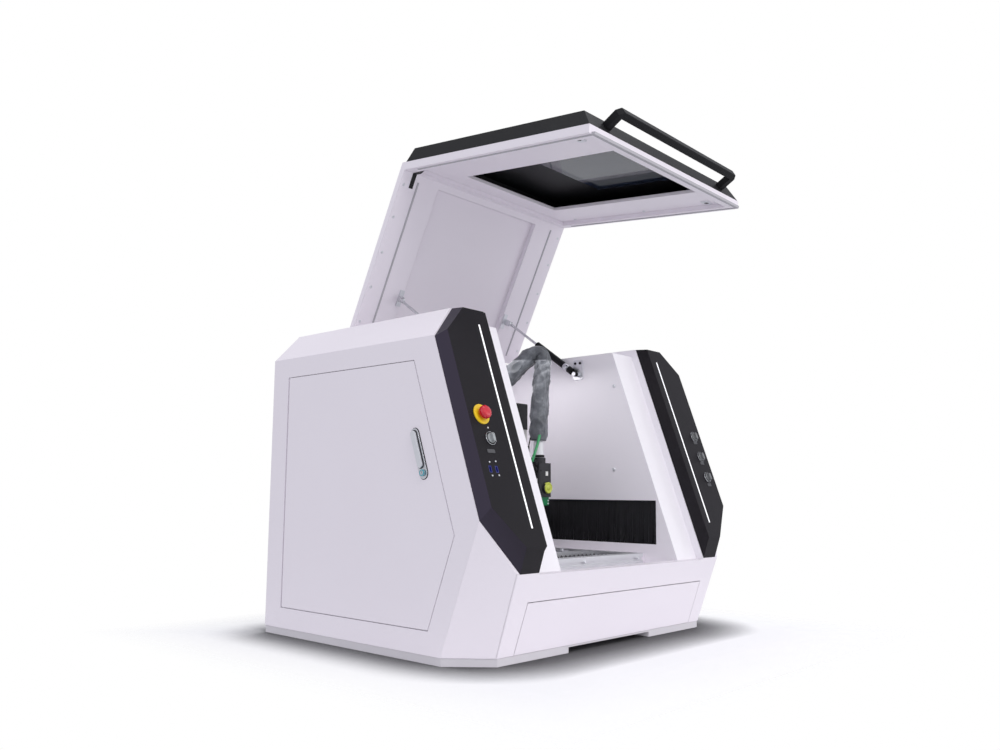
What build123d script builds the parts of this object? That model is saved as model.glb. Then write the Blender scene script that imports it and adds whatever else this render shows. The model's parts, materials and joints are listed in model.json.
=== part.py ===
from build123d import *
import os
from math import atan2, cos, degrees, hypot, radians, sin, tan

# Enclosed bench laser cutter with a lifting lid, drawn in millimetres.
# +X is to the right of someone who stands in front of it, +Y to the rear, +Z up.
# The shell is drawn from its own underside at z = 0 and stands on the base plate.

# Shell
body_w = 1000.0
body_h = 780.0
rear_y = 481.0
slope_deg = 70.4
sill_y = -335.0
sill_h = 177.0
toe_y = -274.0
toe_half_w = 418.0
side_toe_y = -184.0
knee_h = 292.0
crown_w = 76.0
crown_h = 78.0
skin = 2.5
plinth_h = 18.0
plinth_inset = 1.5
notch_half_w = 170.0
notch_depth = 60.0
notch_h = 13.0

# Clearances
gap = 0.3
panel_gap = 1.5
pin_fit = 0.05

# Cabin
cabin_half_w = 250.0
seat_depth = 20.0
sill_depth = 35.0
deck_h = 165.0
ledge_h = 190.0
slot_front_y = -248.0
slot_rear_y = 350.0
slot_low_h = 216.0
slot_top_h = 335.0
brush_t = 8.0
brush_lap = 4.0
pit_half_w = 155.0
pit_front_y = -190.0
pit_rear_y = 320.0
chute_h = 118.0
chute_taper = 22.0

# Inner frame and table
tube = 40.0
rail_tube_w = 60.0
rail_tube_x = 292.0
front_tube_y = -220.0
rear_tube_y = 360.0
tube_wall = 3.0
bar = 30.0
bar_groove_w = 8.0
bar_groove_depth = 5.0
table_half_w = 197.0
table_front_y = -240.0
table_rear_y = 360.0
slat_t = 2.0
slat_h = 25.0
slat_pitch = 40.0
tooth_pitch = 18.0
tooth_h = 9.0
clamp_rail_y = -70.0

# Lid
lid_t = 18.0
lid_side_gap = 9.0
lid_sill_gap = 16.4
rim_proud = 3.0
lid_open_deg = 64.0
hinge_y = 373.0
hinge_lift = 2.0
knuckle_r = 5.5
knuckle_gap = 0.5
hinge_pin_r = 2.5
leaf_t = 2.0
leaf_w = 26.0
hinge_length = 90.0
hinge_spacing = 220.0
tray_half_w = 210.0
tray_front = 20.0
tray_rear = 25.0
roof_skin = 2.0
rim_w = 30.0
rim_recess = 12.0
window_half_w = 190.0
window_low_margin = 33.0
window_top_margin = 82.0
cover_t = 40.0
cover_wall = 3.0
cover_side_bevel = 15.0
cover_low_bevel = 30.0
cover_top_bevel = 12.0
glass_half_w = 180.0
glass_length = 322.0
glass_inset = 4.0
glass_t = 5.0
glass_lap = 8.0
handle_length = 540.0
handle_reach = 54.0
handle_bar = 18.0
handle_corner = 12.0
seal_w = 5.0
seal_t = 1.7
seal_x = 283.0
seal_lip = 9.0

# Gas struts: pivots given as (y, z) with the lid shut
strut_x = 233.0
strut_foot = (16.0, 706.0)
strut_head = (233.0, 743.5)
strut_r = 10.0
strut_tube_length = 180.0
strut_bore_length = 122.0
rod_r = 4.0
rod_tail = 12.0
eye_r = 7.5
eye_w = 10.0
neck_r = 4.7
strut_pin_r = 4.0

# Pods
pod_x = 352.0
pod_t = 36.0
pod_edge = 1.0
pod_top_inset = 15.0
pod_side_inset = 8.0
pod_nose_h = 48.0
light_x = 381.0
light_w = 4.0
light_low_h = 276.0
light_top_h = 740.0
light_t = 3.0
control_x = 452.0
estop_h = 521.0
selector_x = 442.0
selector_h = 468.0
usb_x = 456.0
usb_h = 401.0
usb_spacing = 20.0
switch_heights = (520.0, 461.0, 402.0)

# Side doors
door_rear_margin = 69.0
door_top_margin = 52.0
door_low_margin = 53.0
door_slope_margin = 80.0
door_toe_margin = 57.0
door_skin = 2.0
door_depth = 12.0
door_roll_r = 5.0
door_pin_r = 3.0
door_pin_grip = 10.0
stop_w = 12.0
lock_y = -107.0
lock_h = 437.0
lock_length = 120.0
lock_w = 26.0
lock_t = 3.0
lever_length = 88.0
lever_w = 16.0
lever_t = 6.0
lever_pivot = 46.0
spindle_r = 5.0
cam_length = 56.0
cam_w = 14.0
cam_t = 3.0

# Motion system
rail_w = 15.0
rail_h = 15.0
beam_front_y = 150.0
beam_d = 80.0
beam_low_h = 236.0
beam_h = 80.0
beam_half_w = 318.0
beam_wall = 5.0
screw_x = 335.0
screw_h = 255.0
screw_r = 6.0
motor_w = 57.0
motor_l = 55.0
x_rail_h = 12.0
head_x = 50.0
carriage_w = 90.0
carriage_t = 10.0
carriage_top_h = 486.0
module_w = 80.0
module_front_y = 66.0
head_y = 4.5
head_w = 52.0
head_low_h = 342.0
head_top_h = 450.0
collimator_r = 14.0
neck_h = 15.0
collimator_h = 48.0
nozzle_tip_h = 302.0
sleeve_r = 25.0

# Scrap drawer
drawer_half_w = 365.0
drawer_h = 115.0
drawer_tray_half_w = 268.0
drawer_rear_y = 330.0
drawer_wall = 2.0

strip_y = hinge_y + knuckle_r + knuckle_gap
cabin_rear_y = strip_y
side_x = body_w / 2
slope_cos = cos(radians(slope_deg))
slope_sin = sin(radians(slope_deg))


def slope_y(z):
    """Where the front slope stands at a height."""
    return sill_y + (z - sill_h) * slope_cos / slope_sin


brow_y = slope_y(body_h)
slope = Plane(origin=(0, brow_y, body_h), x_dir=(1, 0, 0), z_dir=(0, -slope_sin, slope_cos)).location


def slope_v(z):
    """Distance along the slope from the brow to a height, negative downwards."""
    return (z - body_h) / slope_sin


def slope_yz(v, out):
    """World (y, z) of a point at v along the slope and out from it."""
    return (brow_y + v * slope_cos - out * slope_sin, body_h + v * slope_sin + out * slope_cos)


def block(x, y, z):
    """Box between three (low, high) pairs."""
    size = (x[1] - x[0], y[1] - y[0], z[1] - z[0])
    return Pos((x[0] + x[1]) / 2, (y[0] + y[1]) / 2, (z[0] + z[1]) / 2) * Box(*size)


def prism(points, x):
    """Outline of (y, z) corners, extruded between two x values."""
    return extrude(Plane.YZ.offset(x[0]) * Polygon(*points, align=None), x[1] - x[0], dir=(1, 0, 0))


def rod(radius, axis, center, span):
    """Round bar along X, Y or Z; center gives the other two coordinates in X, Y, Z order."""
    middle, length = (span[0] + span[1]) / 2, span[1] - span[0]
    if axis == "X":
        return Pos(middle, *center) * Rot(0, 90, 0) * Cylinder(radius, length)
    if axis == "Y":
        return Pos(center[0], middle, center[1]) * Rot(90, 0, 0) * Cylinder(radius, length)
    return Pos(*center, middle) * Cylinder(radius, length)


def both(shape):
    """A shape and its mirror image across the machine."""
    return shape + mirror(shape, about=Plane.YZ)


def trim(shape, point, outward, inset=0.0):
    """Cut a solid back to a plane that is moved inward by inset."""
    normal = Vector(outward).normalized()
    return split(shape, Plane(origin=Vector(point) - normal * inset, z_dir=normal), keep=Keep.BOTTOM)


toe_face = ((0, toe_y, 0), (0, -sill_h, sill_y - toe_y))
side_top_h = body_h - crown_h


def hull(inset=0.0):
    """Convex outer form of the shell with every wall moved inward by inset; open below."""
    knee = Vector(side_x, slope_y(knee_h), knee_h)
    side_toe = Vector(side_x, side_toe_y, 0)
    toe = Vector(toe_half_w, toe_y, 0)
    corner = (knee - side_toe).cross(toe - side_toe)
    form = block((-body_w, body_w), (2 * sill_y, 2 * rear_y), (0, 2 * body_h))
    form = trim(form, (0, rear_y, 0), (0, 1, 0), inset)
    form = trim(form, (0, 0, body_h), (0, 0, 1), inset)
    form = trim(form, (0, brow_y, body_h), (0, -slope_sin, slope_cos), inset)
    form = trim(form, *toe_face, inset)
    for hand in (-1, 1):
        form = trim(form, (hand * side_x, 0, 0), (hand, 0, 0), inset)
        form = trim(form, (hand * side_x, 0, side_top_h), (hand * crown_h, 0, crown_w), inset)
        form = trim(form, (hand * side_x, side_toe_y, 0), (hand * corner.X, corner.Y, corner.Z), inset)
    return form


shell_outer = hull()
shell_inner = hull(skin)
shell_skin = shell_outer - shell_inner
front_skin = shell_skin - trim(shell_outer, *toe_face, skin)
front_skin = both(front_skin & block((0, body_w), (-body_w, body_w), (0, body_h)))
shell_box = ((-body_w, body_w), (-body_w, body_w), (0, 2 * body_h))


def outline(edges, grow=0.0):
    """Corners where neighbouring edge lines cross; each edge is a unit normal and a distance."""
    corners = []
    for (n, d), (m, e) in zip(edges, edges[1:] + edges[:1]):
        d, e = d + grow, e + grow
        det = n[0] * m[1] - n[1] * m[0]
        corners.append(((d * m[1] - e * n[1]) / det, (n[0] * e - m[0] * d) / det))
    return corners


def door_edges():
    """Edge lines of the side door in (y, z), set in from the edges of the side face."""
    toe_length = hypot(slope_y(knee_h) - side_toe_y, knee_h)
    toe_normal = (-knee_h / toe_length, (slope_y(knee_h) - side_toe_y) / toe_length)
    slope_normal = (-slope_sin, slope_cos)
    return [
        ((1, 0), rear_y - door_rear_margin),
        ((0, 1), side_top_h - door_top_margin),
        (slope_normal, sill_y * slope_normal[0] + sill_h * slope_normal[1] - door_slope_margin),
        (toe_normal, side_toe_y * toe_normal[0] - door_toe_margin),
        ((0, -1), -door_low_margin),
    ]


edges = door_edges()
door_axis_x = side_x - door_roll_r
door_axis_y = rear_y - door_rear_margin - door_roll_r
door_low_h = door_low_margin
door_top_h = side_top_h - door_top_margin
stop_front_x = side_x - door_depth - 1.0
stop_back_x = stop_front_x - skin


# Enclosure


def base_plate():
    """Flat steel base with a shallow notch under the front edge."""
    x, y = side_x - plinth_inset, rear_y - plinth_inset
    corners = [(x, y), (x, side_toe_y), (toe_half_w - plinth_inset, toe_y + plinth_inset)]
    corners += [(-a, b) for a, b in reversed(corners)]
    plate = extrude(Pos(0, 0, -plinth_h) * Polygon(*corners, align=None), plinth_h, dir=(0, 0, 1))
    notch = block((-notch_half_w, notch_half_w), (2 * toe_y, toe_y + notch_depth), (-plinth_h, notch_h - plinth_h))
    return plate - notch


def cheek():
    """Right side housing: side, crown, slope and corner faces with a door opening and its stop."""
    shape = (shell_skin - front_skin) & block((pod_x, body_w), *shell_box[1:])
    opening = outline(edges, panel_gap)
    shape -= prism(opening, (stop_back_x, body_w))
    returns = prism(outline(edges, panel_gap + skin), (stop_back_x, side_x - skin))
    returns -= prism(opening, (stop_front_x, side_x))
    returns -= prism(outline(edges, -stop_w), (stop_back_x, side_x))
    pin_z = (door_low_h - panel_gap - skin, door_top_h + panel_gap + skin)
    return shape + returns - rod(door_pin_r, "Z", (door_axis_x, door_axis_y), pin_z)


def front_panel():
    """Front face with its sill, the flange down to the deck and the opening for the scrap drawer."""
    sill = prism([(sill_y, sill_h), (sill_y + sill_depth, sill_h), (sill_y + sill_depth, deck_h - skin),
                  (sill_y + sill_depth - skin, deck_h - skin), (sill_y + sill_depth - skin, sill_h - skin),
                  (sill_y, sill_h - skin)], (-pod_x, pod_x))
    face = front_skin + (sill & shell_outer)
    face -= block((-pod_x, pod_x), (2 * sill_y, 0), (sill_h, body_h))
    half = drawer_half_w + panel_gap
    return face - block((-half, half), (2 * sill_y, 0), (0, drawer_h + panel_gap))


def rear_panel():
    """Rear face and fixed top strip in one fold, with louvres and a hole for the extraction spigot."""
    shape = shell_skin & block((-pod_x, pod_x), (strip_y, 2 * rear_y), shell_box[2])
    for column in (-210, 0, 210):
        for row in range(7):
            shape -= block((column - 60, column + 60), (rear_y - 2 * skin, 2 * rear_y), (90 + 16 * row, 96 + 16 * row))
    shape -= rod(spigot_r, "Y", (0, spigot_h), (rear_y - 2 * skin, rear_y + skin))
    inlet_x, inlet_h, inlet_half = inlet
    shape -= block((inlet_x - inlet_half, inlet_x + inlet_half), (rear_y - 2 * skin, 2 * rear_y),
                   (inlet_h - inlet_half, inlet_h + inlet_half))
    return shape


def seat_form(inset):
    """Space below the slope and the top, both moved in by inset."""
    form = block((-body_w, body_w), (2 * sill_y, cabin_rear_y), (sill_h, 2 * body_h))
    form = trim(form, (0, 0, body_h), (0, 0, 1), inset)
    return trim(form, (0, brow_y, body_h), (0, -slope_sin, slope_cos), inset)


def inner_wall():
    """Right cabin wall folded out into the lid seat and up to the edge of the cheek."""
    below = seat_form(seat_depth)
    wall = below + block((-body_w, body_w), (sill_y + sill_depth, cabin_rear_y), (deck_h - skin, sill_h))
    wall &= block((cabin_half_w, cabin_half_w + skin), *shell_box[1:])
    seat = (below - seat_form(seat_depth + skin)) & block((cabin_half_w, pod_x), *shell_box[1:])
    step = (seat_form(0) - below) & block((pod_x - skin, pod_x), *shell_box[1:])
    slot = block((0, body_w), (slot_front_y, slot_rear_y), (slot_low_h, slot_top_h))
    return wall + seat + step - slot


def cabin_rear_wall():
    """Rear wall of the cabin, wider at the top where it closes the lid seat."""
    y = (cabin_rear_y, cabin_rear_y + skin)
    half = cabin_half_w + skin
    shape = block((-half, half), y, (deck_h - skin, body_h - skin))
    shape += block((-pod_x, pod_x), y, (body_h - seat_depth - skin, body_h - skin))
    for row in range(5):
        shape -= block((-90, 90), (0, body_w), (470 + 22 * row, 480 + 22 * row))
    return shape


def cabin_floor():
    """Deck with raised ledges along the walls and the scrap chute under the table."""
    x, y = (-cabin_half_w, cabin_half_w), (sill_y + sill_depth, cabin_rear_y)
    deck = block(x, y, (deck_h - skin, deck_h))
    ledge = block((table_half_w + gap, cabin_half_w), (table_front_y + bar, cabin_rear_y), (deck_h, ledge_h))
    ledge -= block((table_half_w + gap + skin, cabin_half_w), (table_front_y + bar + skin, cabin_rear_y),
                   (deck_h, ledge_h - skin))
    width, length = 2 * pit_half_w, pit_rear_y - pit_front_y
    middle = (pit_front_y + pit_rear_y) / 2
    chute = chute_form(width, length, middle, 0)
    hole = chute_form(width, length, middle, skin)
    return deck + both(ledge) + chute - hole


def chute_form(width, length, middle, wall):
    """Tapered block from the deck down to the drawer, drawn in by a wall on every side."""
    top = Pos(0, middle, deck_h) * Rectangle(width - 2 * wall, length - 2 * wall)
    narrow = 2 * (chute_taper + wall)
    foot = Pos(0, middle, chute_h) * Rectangle(width - narrow, length - narrow)
    return loft([foot.face(), top.face()])


def motion_frame():
    """Welded tube frame that carries the deck, the rails and the table."""
    cross_top = deck_h - skin
    long_x = (rail_tube_x - rail_tube_w / 2, rail_tube_x + rail_tube_w / 2)
    cross_x = (-long_x[1], long_x[1])
    shape = both(hollow_tube(long_x, (front_tube_y - tube / 2, rear_tube_y + tube / 2 - 20), (cross_top, cross_top + tube), "Y"))
    for y in (front_tube_y, rear_tube_y - 20):
        shape += hollow_tube(cross_x, (y - tube / 2, y + tube / 2), (cross_top - tube, cross_top), "X")
        leg = hollow_tube((long_x[1] - tube, long_x[1]), (y - tube / 2, y + tube / 2), (0, cross_top - tube), "Z")
        shape += both(leg)
    return shape


def hollow_tube(x, y, z, axis):
    """Square tube along one axis, open at both ends."""
    w = tube_wall
    inner = {"X": (x, (y[0] + w, y[1] - w), (z[0] + w, z[1] - w)),
             "Y": ((x[0] + w, x[1] - w), y, (z[0] + w, z[1] - w)),
             "Z": ((x[0] + w, x[1] - w), (y[0] + w, y[1] - w), z)}[axis]
    return block(x, y, z) - block(*inner)


# Table


def grooved_bar(x, y, z, along):
    """Aluminium extrusion with a slot down the middle of its long faces."""
    shape = block(x, y, z)
    half, deep = bar_groove_w / 2, bar_groove_depth
    zm = (z[0] + z[1]) / 2
    if along == "X":
        ym = (y[0] + y[1]) / 2
        grooves = block(x, (y[0], y[0] + deep), (zm - half, zm + half))
        grooves += block(x, (y[1] - deep, y[1]), (zm - half, zm + half))
        return shape - grooves - block(x, (ym - half, ym + half), (z[1] - deep, z[1]))
    xm = (x[0] + x[1]) / 2
    grooves = block((x[0], x[0] + deep), y, (zm - half, zm + half))
    grooves += block((x[1] - deep, x[1]), y, (zm - half, zm + half))
    return shape - grooves - block((xm - half, xm + half), y, (z[1] - deep, z[1]))


def work_table():
    """Frame of grooved bars with one cross rail for the clamps."""
    z = (deck_h, deck_h + bar)
    inner = table_half_w - bar
    shape = grooved_bar((-table_half_w, table_half_w), (table_front_y, table_front_y + bar), z, "X")
    shape += grooved_bar((-table_half_w, table_half_w), (table_rear_y - bar, table_rear_y), z, "X")
    shape += both(grooved_bar((inner, table_half_w), (table_front_y + bar, table_rear_y - bar), z, "Y"))
    rail = grooved_bar((-inner, inner), (clamp_rail_y - bar / 2, clamp_rail_y + bar / 2), z, "X")
    return shape + rail


def table_slats():
    """Saw-toothed support blades that hold the sheet above the chute."""
    half = table_half_w - bar - gap
    teeth = int(2 * half // tooth_pitch)
    start = -teeth * tooth_pitch / 2
    top = deck_h + slat_h
    points = [(-half, deck_h), (half, deck_h), (half, top - tooth_h)]
    for i in reversed(range(teeth)):
        left = start + i * tooth_pitch
        points += [(left + tooth_pitch, top - tooth_h), (left + tooth_pitch / 2, top)]
    points += [(start, top - tooth_h), (-half, top - tooth_h)]
    blade = extrude(Plane.XZ * Polygon(*points, align=None), slat_t / 2, both=True)
    count = int((table_rear_y - table_front_y - 2 * bar) // slat_pitch)
    places = [table_front_y + bar + slat_pitch * (i + 0.5) for i in range(count)]
    clear = bar / 2 + slat_t
    return Compound([Pos(0, y, 0) * blade for y in places if abs(y - clamp_rail_y) > clear])


def table_clamps():
    """Two low hold-downs on the clamp rail, each a jaw with a thumb screw."""
    top = deck_h + bar
    clamps = []
    for x in (-70, 60):
        jaw = block((x - 14, x + 14), (clamp_rail_y - 13, clamp_rail_y + 26), (top, top + 5))
        screw = rod(6, "Z", (x, clamp_rail_y), (top + 5, top + 9))
        clamps.append(jaw + screw)
    return Compound(clamps)


# Pods and their controls


def pod():
    """Right control pod: a tapered cover on the slope."""
    corner_x = toe_half_w - 3
    back = [(pod_x, body_h), (side_x - crown_w - 6, body_h), (side_x - pod_edge, side_top_h - 2),
            (side_x - pod_edge, knee_h), (corner_x, sill_h + 3), (pod_x, sill_h + 3)]
    top, out = body_h - pod_top_inset, side_x - pod_side_inset
    front = [(pod_x, top), (side_x - crown_w - 3, top), (out, side_top_h - 1),
             (out, knee_h + 17), (corner_x - 1, sill_h + pod_nose_h), (pod_x, sill_h + pod_nose_h)]
    faces = []
    for points, lift in ((back, 0), (front, pod_t)):
        flat = Polygon(*[(x, slope_v(z)) for x, z in points], align=None)
        faces.append((slope * Pos(0, 0, lift) * flat).face())
    shape = loft(faces, ruled=True)
    low, high = pod_v(light_low_h), pod_v(light_top_h)
    groove = block((light_x - light_w / 2, light_x + light_w / 2), (low, high), (pod_t - light_t + 1, pod_t + 1))
    return shape - slope * groove


def pod_v(z):
    """Distance along the slope from the brow to a height on the pod's front face."""
    return (z - pod_t * slope_cos - body_h) / slope_sin


def pod_face(x, z):
    """Place on the front face of a pod, with local z pointing out of it."""
    return slope * Pos(x, pod_v(z), pod_t)


def bore(radius, deep):
    """Round pocket cut inward from z = 0."""
    return Pos(0, 0, -deep / 2) * Cylinder(radius, deep)


def left_pod():
    shape = mirror(pod(), about=Plane.YZ)
    shape -= pod_face(-control_x, estop_h) * bore(estop_stem_r + 2, 30)
    shape -= pod_face(-selector_x, selector_h) * bore(knob_r + 1, 24)
    for place in usb_places():
        shape -= place * usb_pocket
    return shape


def right_pod():
    shape = pod()
    for z in switch_heights:
        shape -= pod_face(control_x, z) * bore(knob_r + 1, 24)
    return shape


estop_disc_r = 23.5
estop_disc_t = 3.0
estop_stem_r = 8.0
estop_travel = 4.0
knob_r = 11.0
knob_t = 5.0
grip_w = 8.0
grip_h = 13.0
ring_r = 15.0
ring_t = 2.5
usb_pocket = Pos(0, 0, -7) * Box(8, 15, 14)
spigot_r = 50.0
spigot_h = 560.0
inlet = (230.0, 60.0, 24.0)


def usb_places():
    """Places of the two data sockets."""
    return [pod_face(-usb_x + side * usb_spacing / 2, usb_h) for side in (-1, 1)]


def usb_ports():
    """Two socket shells, each with its tongue, flush with the pod."""
    shell = usb_pocket - Pos(0, 0, -5.5) * Box(5.5, 12.5, 11)
    tongue = Pos(-1.2, 0, -7) * Box(1.8, 11, 10)
    return Compound([place * (shell + tongue) for place in usb_places()])


def light_bars():
    """Diffuser strips let into the pods."""
    low, high = pod_v(light_low_h), pod_v(light_top_h)
    half = light_w / 2
    strip = slope * block((light_x - half, light_x + half), (low, high), (pod_t - light_t + 1, pod_t + 1))
    return Compound([strip, mirror(strip, about=Plane.YZ)])


def estop_disc():
    """Round backing disc under the stop button."""
    disc = Pos(0, 0, estop_disc_t / 2) * Cylinder(estop_disc_r, estop_disc_t)
    disc = chamfer(disc.edges().filter_by(GeomType.CIRCLE).group_by(Axis.Z)[-1], 1)
    return pod_face(-control_x, estop_h) * (disc - Cylinder(estop_stem_r + gap, 20))


def estop_head():
    """Mushroom button with its stem."""
    low = estop_disc_t + estop_travel + 1
    points = [(0, -24), (estop_stem_r, -24), (estop_stem_r, low), (14, low), (15.5, low + 3), (15.5, low + 7),
              (14.2, low + 10.5), (11, low + 13), (6, low + 14.3), (0, low + 14.5)]
    return pod_face(-control_x, estop_h) * revolve(Plane.XZ * Polygon(*points, align=None), Axis.Z)


def switch_rings():
    """Bezel rings of the selector and the three switches."""
    ring = Pos(0, 0, ring_t / 2) * Cylinder(ring_r, ring_t)
    ring = chamfer(ring.edges().filter_by(GeomType.CIRCLE).group_by(Axis.Z)[-1], 0.8)
    ring -= Cylinder(knob_r + gap, 20)
    places = [pod_face(-selector_x, selector_h)] + [pod_face(control_x, z) for z in switch_heights]
    return Compound([place * ring for place in places])


def turn_knob(place):
    """Round knob with a raised grip across it and a pointer notch at the grip's upper end."""
    knob = Pos(0, 0, (knob_t - 18) / 2) * Cylinder(knob_r, knob_t + 18)
    knob = chamfer(knob.edges().filter_by(GeomType.CIRCLE).group_by(Axis.Z)[-1], 0.8)
    grip = Pos(0, 0, knob_t) * extrude(Rot(0, 0, 90) * SlotOverall(2 * knob_r - 2, grip_w), grip_h - knob_t)
    grip = chamfer(grip.edges().group_by(Axis.Z)[-1], 1)
    return place * (knob + grip - Pos(0, knob_r - 4, grip_h) * Box(1.5, 4, 2))


# Side doors and locks


def door():
    """Right side door: a pan with a rolled hinge edge and a hole for the lock spindle."""
    pan = prism(outline(edges), (side_x - door_depth, side_x))
    pan -= prism(outline(edges, -door_skin), (0, side_x - door_skin))
    pan &= block((0, body_w), (-body_w, door_axis_y), shell_box[2])
    roll = rod(door_roll_r, "Z", (door_axis_x, door_axis_y), (door_low_h, door_top_h))
    shape = pan + roll
    shape -= rod(door_pin_r + pin_fit, "Z", (door_axis_x, door_axis_y), (door_low_h, door_top_h))
    return shape - lock_place * rod(spindle_r + gap, "Z", (lever_pivot, 0), (-20, 20))


def door_pins():
    """Pivot pins on small blocks behind the skin, above and below each door."""
    pins = []
    for edge_h, way in ((door_top_h, 1), (door_low_h, -1)):
        foot = edge_h + way * (panel_gap + skin)
        z = sorted((foot, foot + way * 10))
        pin_z = sorted((foot, edge_h - way * door_pin_grip))
        lug = block((side_x - skin - 12, side_x - skin), (door_axis_y - 7, door_axis_y + 6), z)
        pins.append(lug + rod(door_pin_r, "Z", (door_axis_x, door_axis_y), pin_z))
    return Compound(pins + [mirror(pin, about=Plane.YZ) for pin in pins])


lock_place = Plane(origin=(side_x, lock_y, lock_h), x_dir=(0, slope_cos, slope_sin), z_dir=(1, 0, 0)).location


def lock_plate():
    """Escutcheon of the door lock with a raised key cylinder near its lower end."""
    plate = extrude(SlotOverall(lock_length, lock_w), lock_t)
    plate = chamfer(plate.edges().group_by(Axis.Z)[-1], 1)
    cylinder = Pos(-lock_length / 2 + 14, 0, lock_t + 2) * Cylinder(7.5, 4)
    cylinder -= Pos(-lock_length / 2 + 14, 0, lock_t + 4) * Box(8, 1.6, 3)
    hole = rod(spindle_r + gap, "Z", (lever_pivot, 0), (-1, 20))
    return lock_place * (plate + cylinder - hole)


def lock_lever():
    """Lever with its spindle through the door and the cam that locks behind the stop."""
    low = lock_t + gap
    middle = lever_pivot + lever_w / 2 - lever_length / 2
    lever = Pos(middle, 0, low) * extrude(SlotOverall(lever_length, lever_w), lever_t)
    lever = chamfer(lever.edges().group_by(Axis.Z)[-1], 1.5)
    back = stop_back_x - side_x - gap
    spindle = rod(spindle_r, "Z", (lever_pivot, 0), (back, low + 1))
    cam = Pos(lever_pivot - cam_length / 2 + cam_w / 2, 0, back - cam_t) * extrude(SlotOverall(cam_length, cam_w), cam_t)
    return lock_place * (lever + spindle + cam)


# Lid, drawn shut and then swung open


hinge_h = body_h + hinge_lift
lid_half_w = pod_x - lid_side_gap
roof_rear_y = hinge_y - knuckle_r - knuckle_gap
fold_v = -lid_t * tan(radians(slope_deg / 2))
end_v = slope_v(sill_h) + lid_sill_gap
window_v = (end_v + window_low_margin, fold_v - window_top_margin)
glass_v = (window_v[0] + glass_inset, window_v[0] + glass_inset + glass_length)


def opened(shape):
    """Swing a shape of the shut lid up to its open stop."""
    return Pos(0, hinge_y, hinge_h) * Rot(-lid_open_deg, 0, 0) * Pos(0, -hinge_y, -hinge_h) * shape


def opened_yz(point):
    """Open-lid place of a (y, z) point of the shut lid."""
    turn = radians(-lid_open_deg)
    y, z = point[0] - hinge_y, point[1] - hinge_h
    return (hinge_y + y * cos(turn) - z * sin(turn), hinge_h + y * sin(turn) + z * cos(turn))


def lid_shell():
    """Folded lid: a roof with a pressed-in tray and a front panel with the window opening."""
    fold = slope_yz(fold_v, -lid_t)
    section = [(roof_rear_y, body_h), slope_yz(-rim_proud * slope_cos / slope_sin, rim_proud),
               slope_yz(end_v, rim_proud), slope_yz(end_v, -lid_t), fold, (roof_rear_y, body_h - lid_t)]
    shape = prism(section, (-lid_half_w, lid_half_w))
    shape -= block((-tray_half_w, tray_half_w), (fold[0] + tray_front, roof_rear_y - tray_rear),
                   (body_h - lid_t, body_h - roof_skin))
    half = lid_half_w - rim_w
    shape -= slope * block((-half, half), (end_v + 22, fold_v - 20), (-lid_t, rim_recess - lid_t))
    shape -= slope * block((-window_half_w, window_half_w), window_v, (-2 * lid_t, lid_t))
    return opened(shape)


def cover_form(wall, bottom):
    """Bevelled block of the window cover, drawn in by a wall on every side."""
    x, low, high = lid_half_w - 1 - wall, end_v + 1 + wall, fold_v - 2 - wall
    base = slope * Pos(0, (low + high) / 2, bottom) * Rectangle(2 * x, high - low)
    x, low, high = x - cover_side_bevel, low + cover_low_bevel, high - cover_top_bevel
    top = slope * Pos(0, (low + high) / 2, rim_proud + cover_t - wall) * Rectangle(2 * x, high - low)
    return loft([base.face(), top.face()], ruled=True)


def window_cover():
    """Moulded cover over the front panel with the viewing opening."""
    shape = cover_form(0, rim_proud) - cover_form(cover_wall, rim_proud)
    half = glass_half_w - glass_lap
    opening = block((-half, half), (glass_v[0] + glass_lap, glass_v[1] - glass_lap), (0, 3 * cover_t))
    return opened(shape - slope * opening)


def window_glass():
    """Filter pane held under the cover's top face."""
    top = rim_proud + cover_t - cover_wall
    pane = block((-glass_half_w, glass_half_w), glass_v, (top - glass_t, top))
    return opened(slope * pane)


def lid_handle():
    """Square bar handle standing on the cover's lower bevel."""
    bevel = hypot(cover_low_bevel, cover_t)
    out = (0, -cover_t / bevel, cover_low_bevel / bevel)
    middle = (0, end_v + 1 + cover_low_bevel / 2, rim_proud + cover_t / 2)
    place = Plane(origin=middle, x_dir=(1, 0, 0), z_dir=Vector(1, 0, 0).cross(Vector(*out))).location
    half, reach = handle_length / 2, handle_reach
    outer = [(-half, 0), (-half, reach - handle_corner), (-half + handle_corner, reach),
             (half - handle_corner, reach), (half, reach - handle_corner), (half, 0)]
    inner = [(-half + handle_bar, 0), (-half + handle_bar, reach - handle_bar),
             (half - handle_bar, reach - handle_bar), (half - handle_bar, 0)]
    bow = Polygon(*outer, align=None) - Polygon(*inner, align=None)
    shape = extrude(bow, handle_bar / 2, both=True)
    shape = chamfer(shape.edges().filter_by(Axis.X), 1.2)
    return opened(slope * place * shape)


def lid_seal():
    """Rubber strips under the roof flanges and round the front panel's rim."""
    fold_y = slope_yz(fold_v, -lid_t)[0]
    roof = block((seal_x, seal_x + seal_w), (fold_y + tray_front, roof_rear_y - tray_rear),
                 (body_h - lid_t - seal_t, body_h - lid_t))
    x = lid_half_w - rim_w / 2
    side = slope * block((x, x + seal_w), (end_v, fold_v - 40), (-lid_t - seal_t, -lid_t))
    out = x + seal_w
    foot = slope * block((-out, out), (end_v - seal_lip, end_v), (-lid_t - seal_t, seal_w - lid_t))
    strips = [opened(both(side) + foot), opened(roof), opened(mirror(roof, about=Plane.YZ))]
    return Compound(strips)


def strut_ear(pivot, base_h, x, reach):
    """Plate with a round end at a (y, z) pivot, standing down from a base height."""
    y, z = pivot
    ear = block((x, x + 4), (y - reach, y + reach), (z, base_h))
    return ear + rod(reach, "X", (y, z), (x, x + 4))


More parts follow.
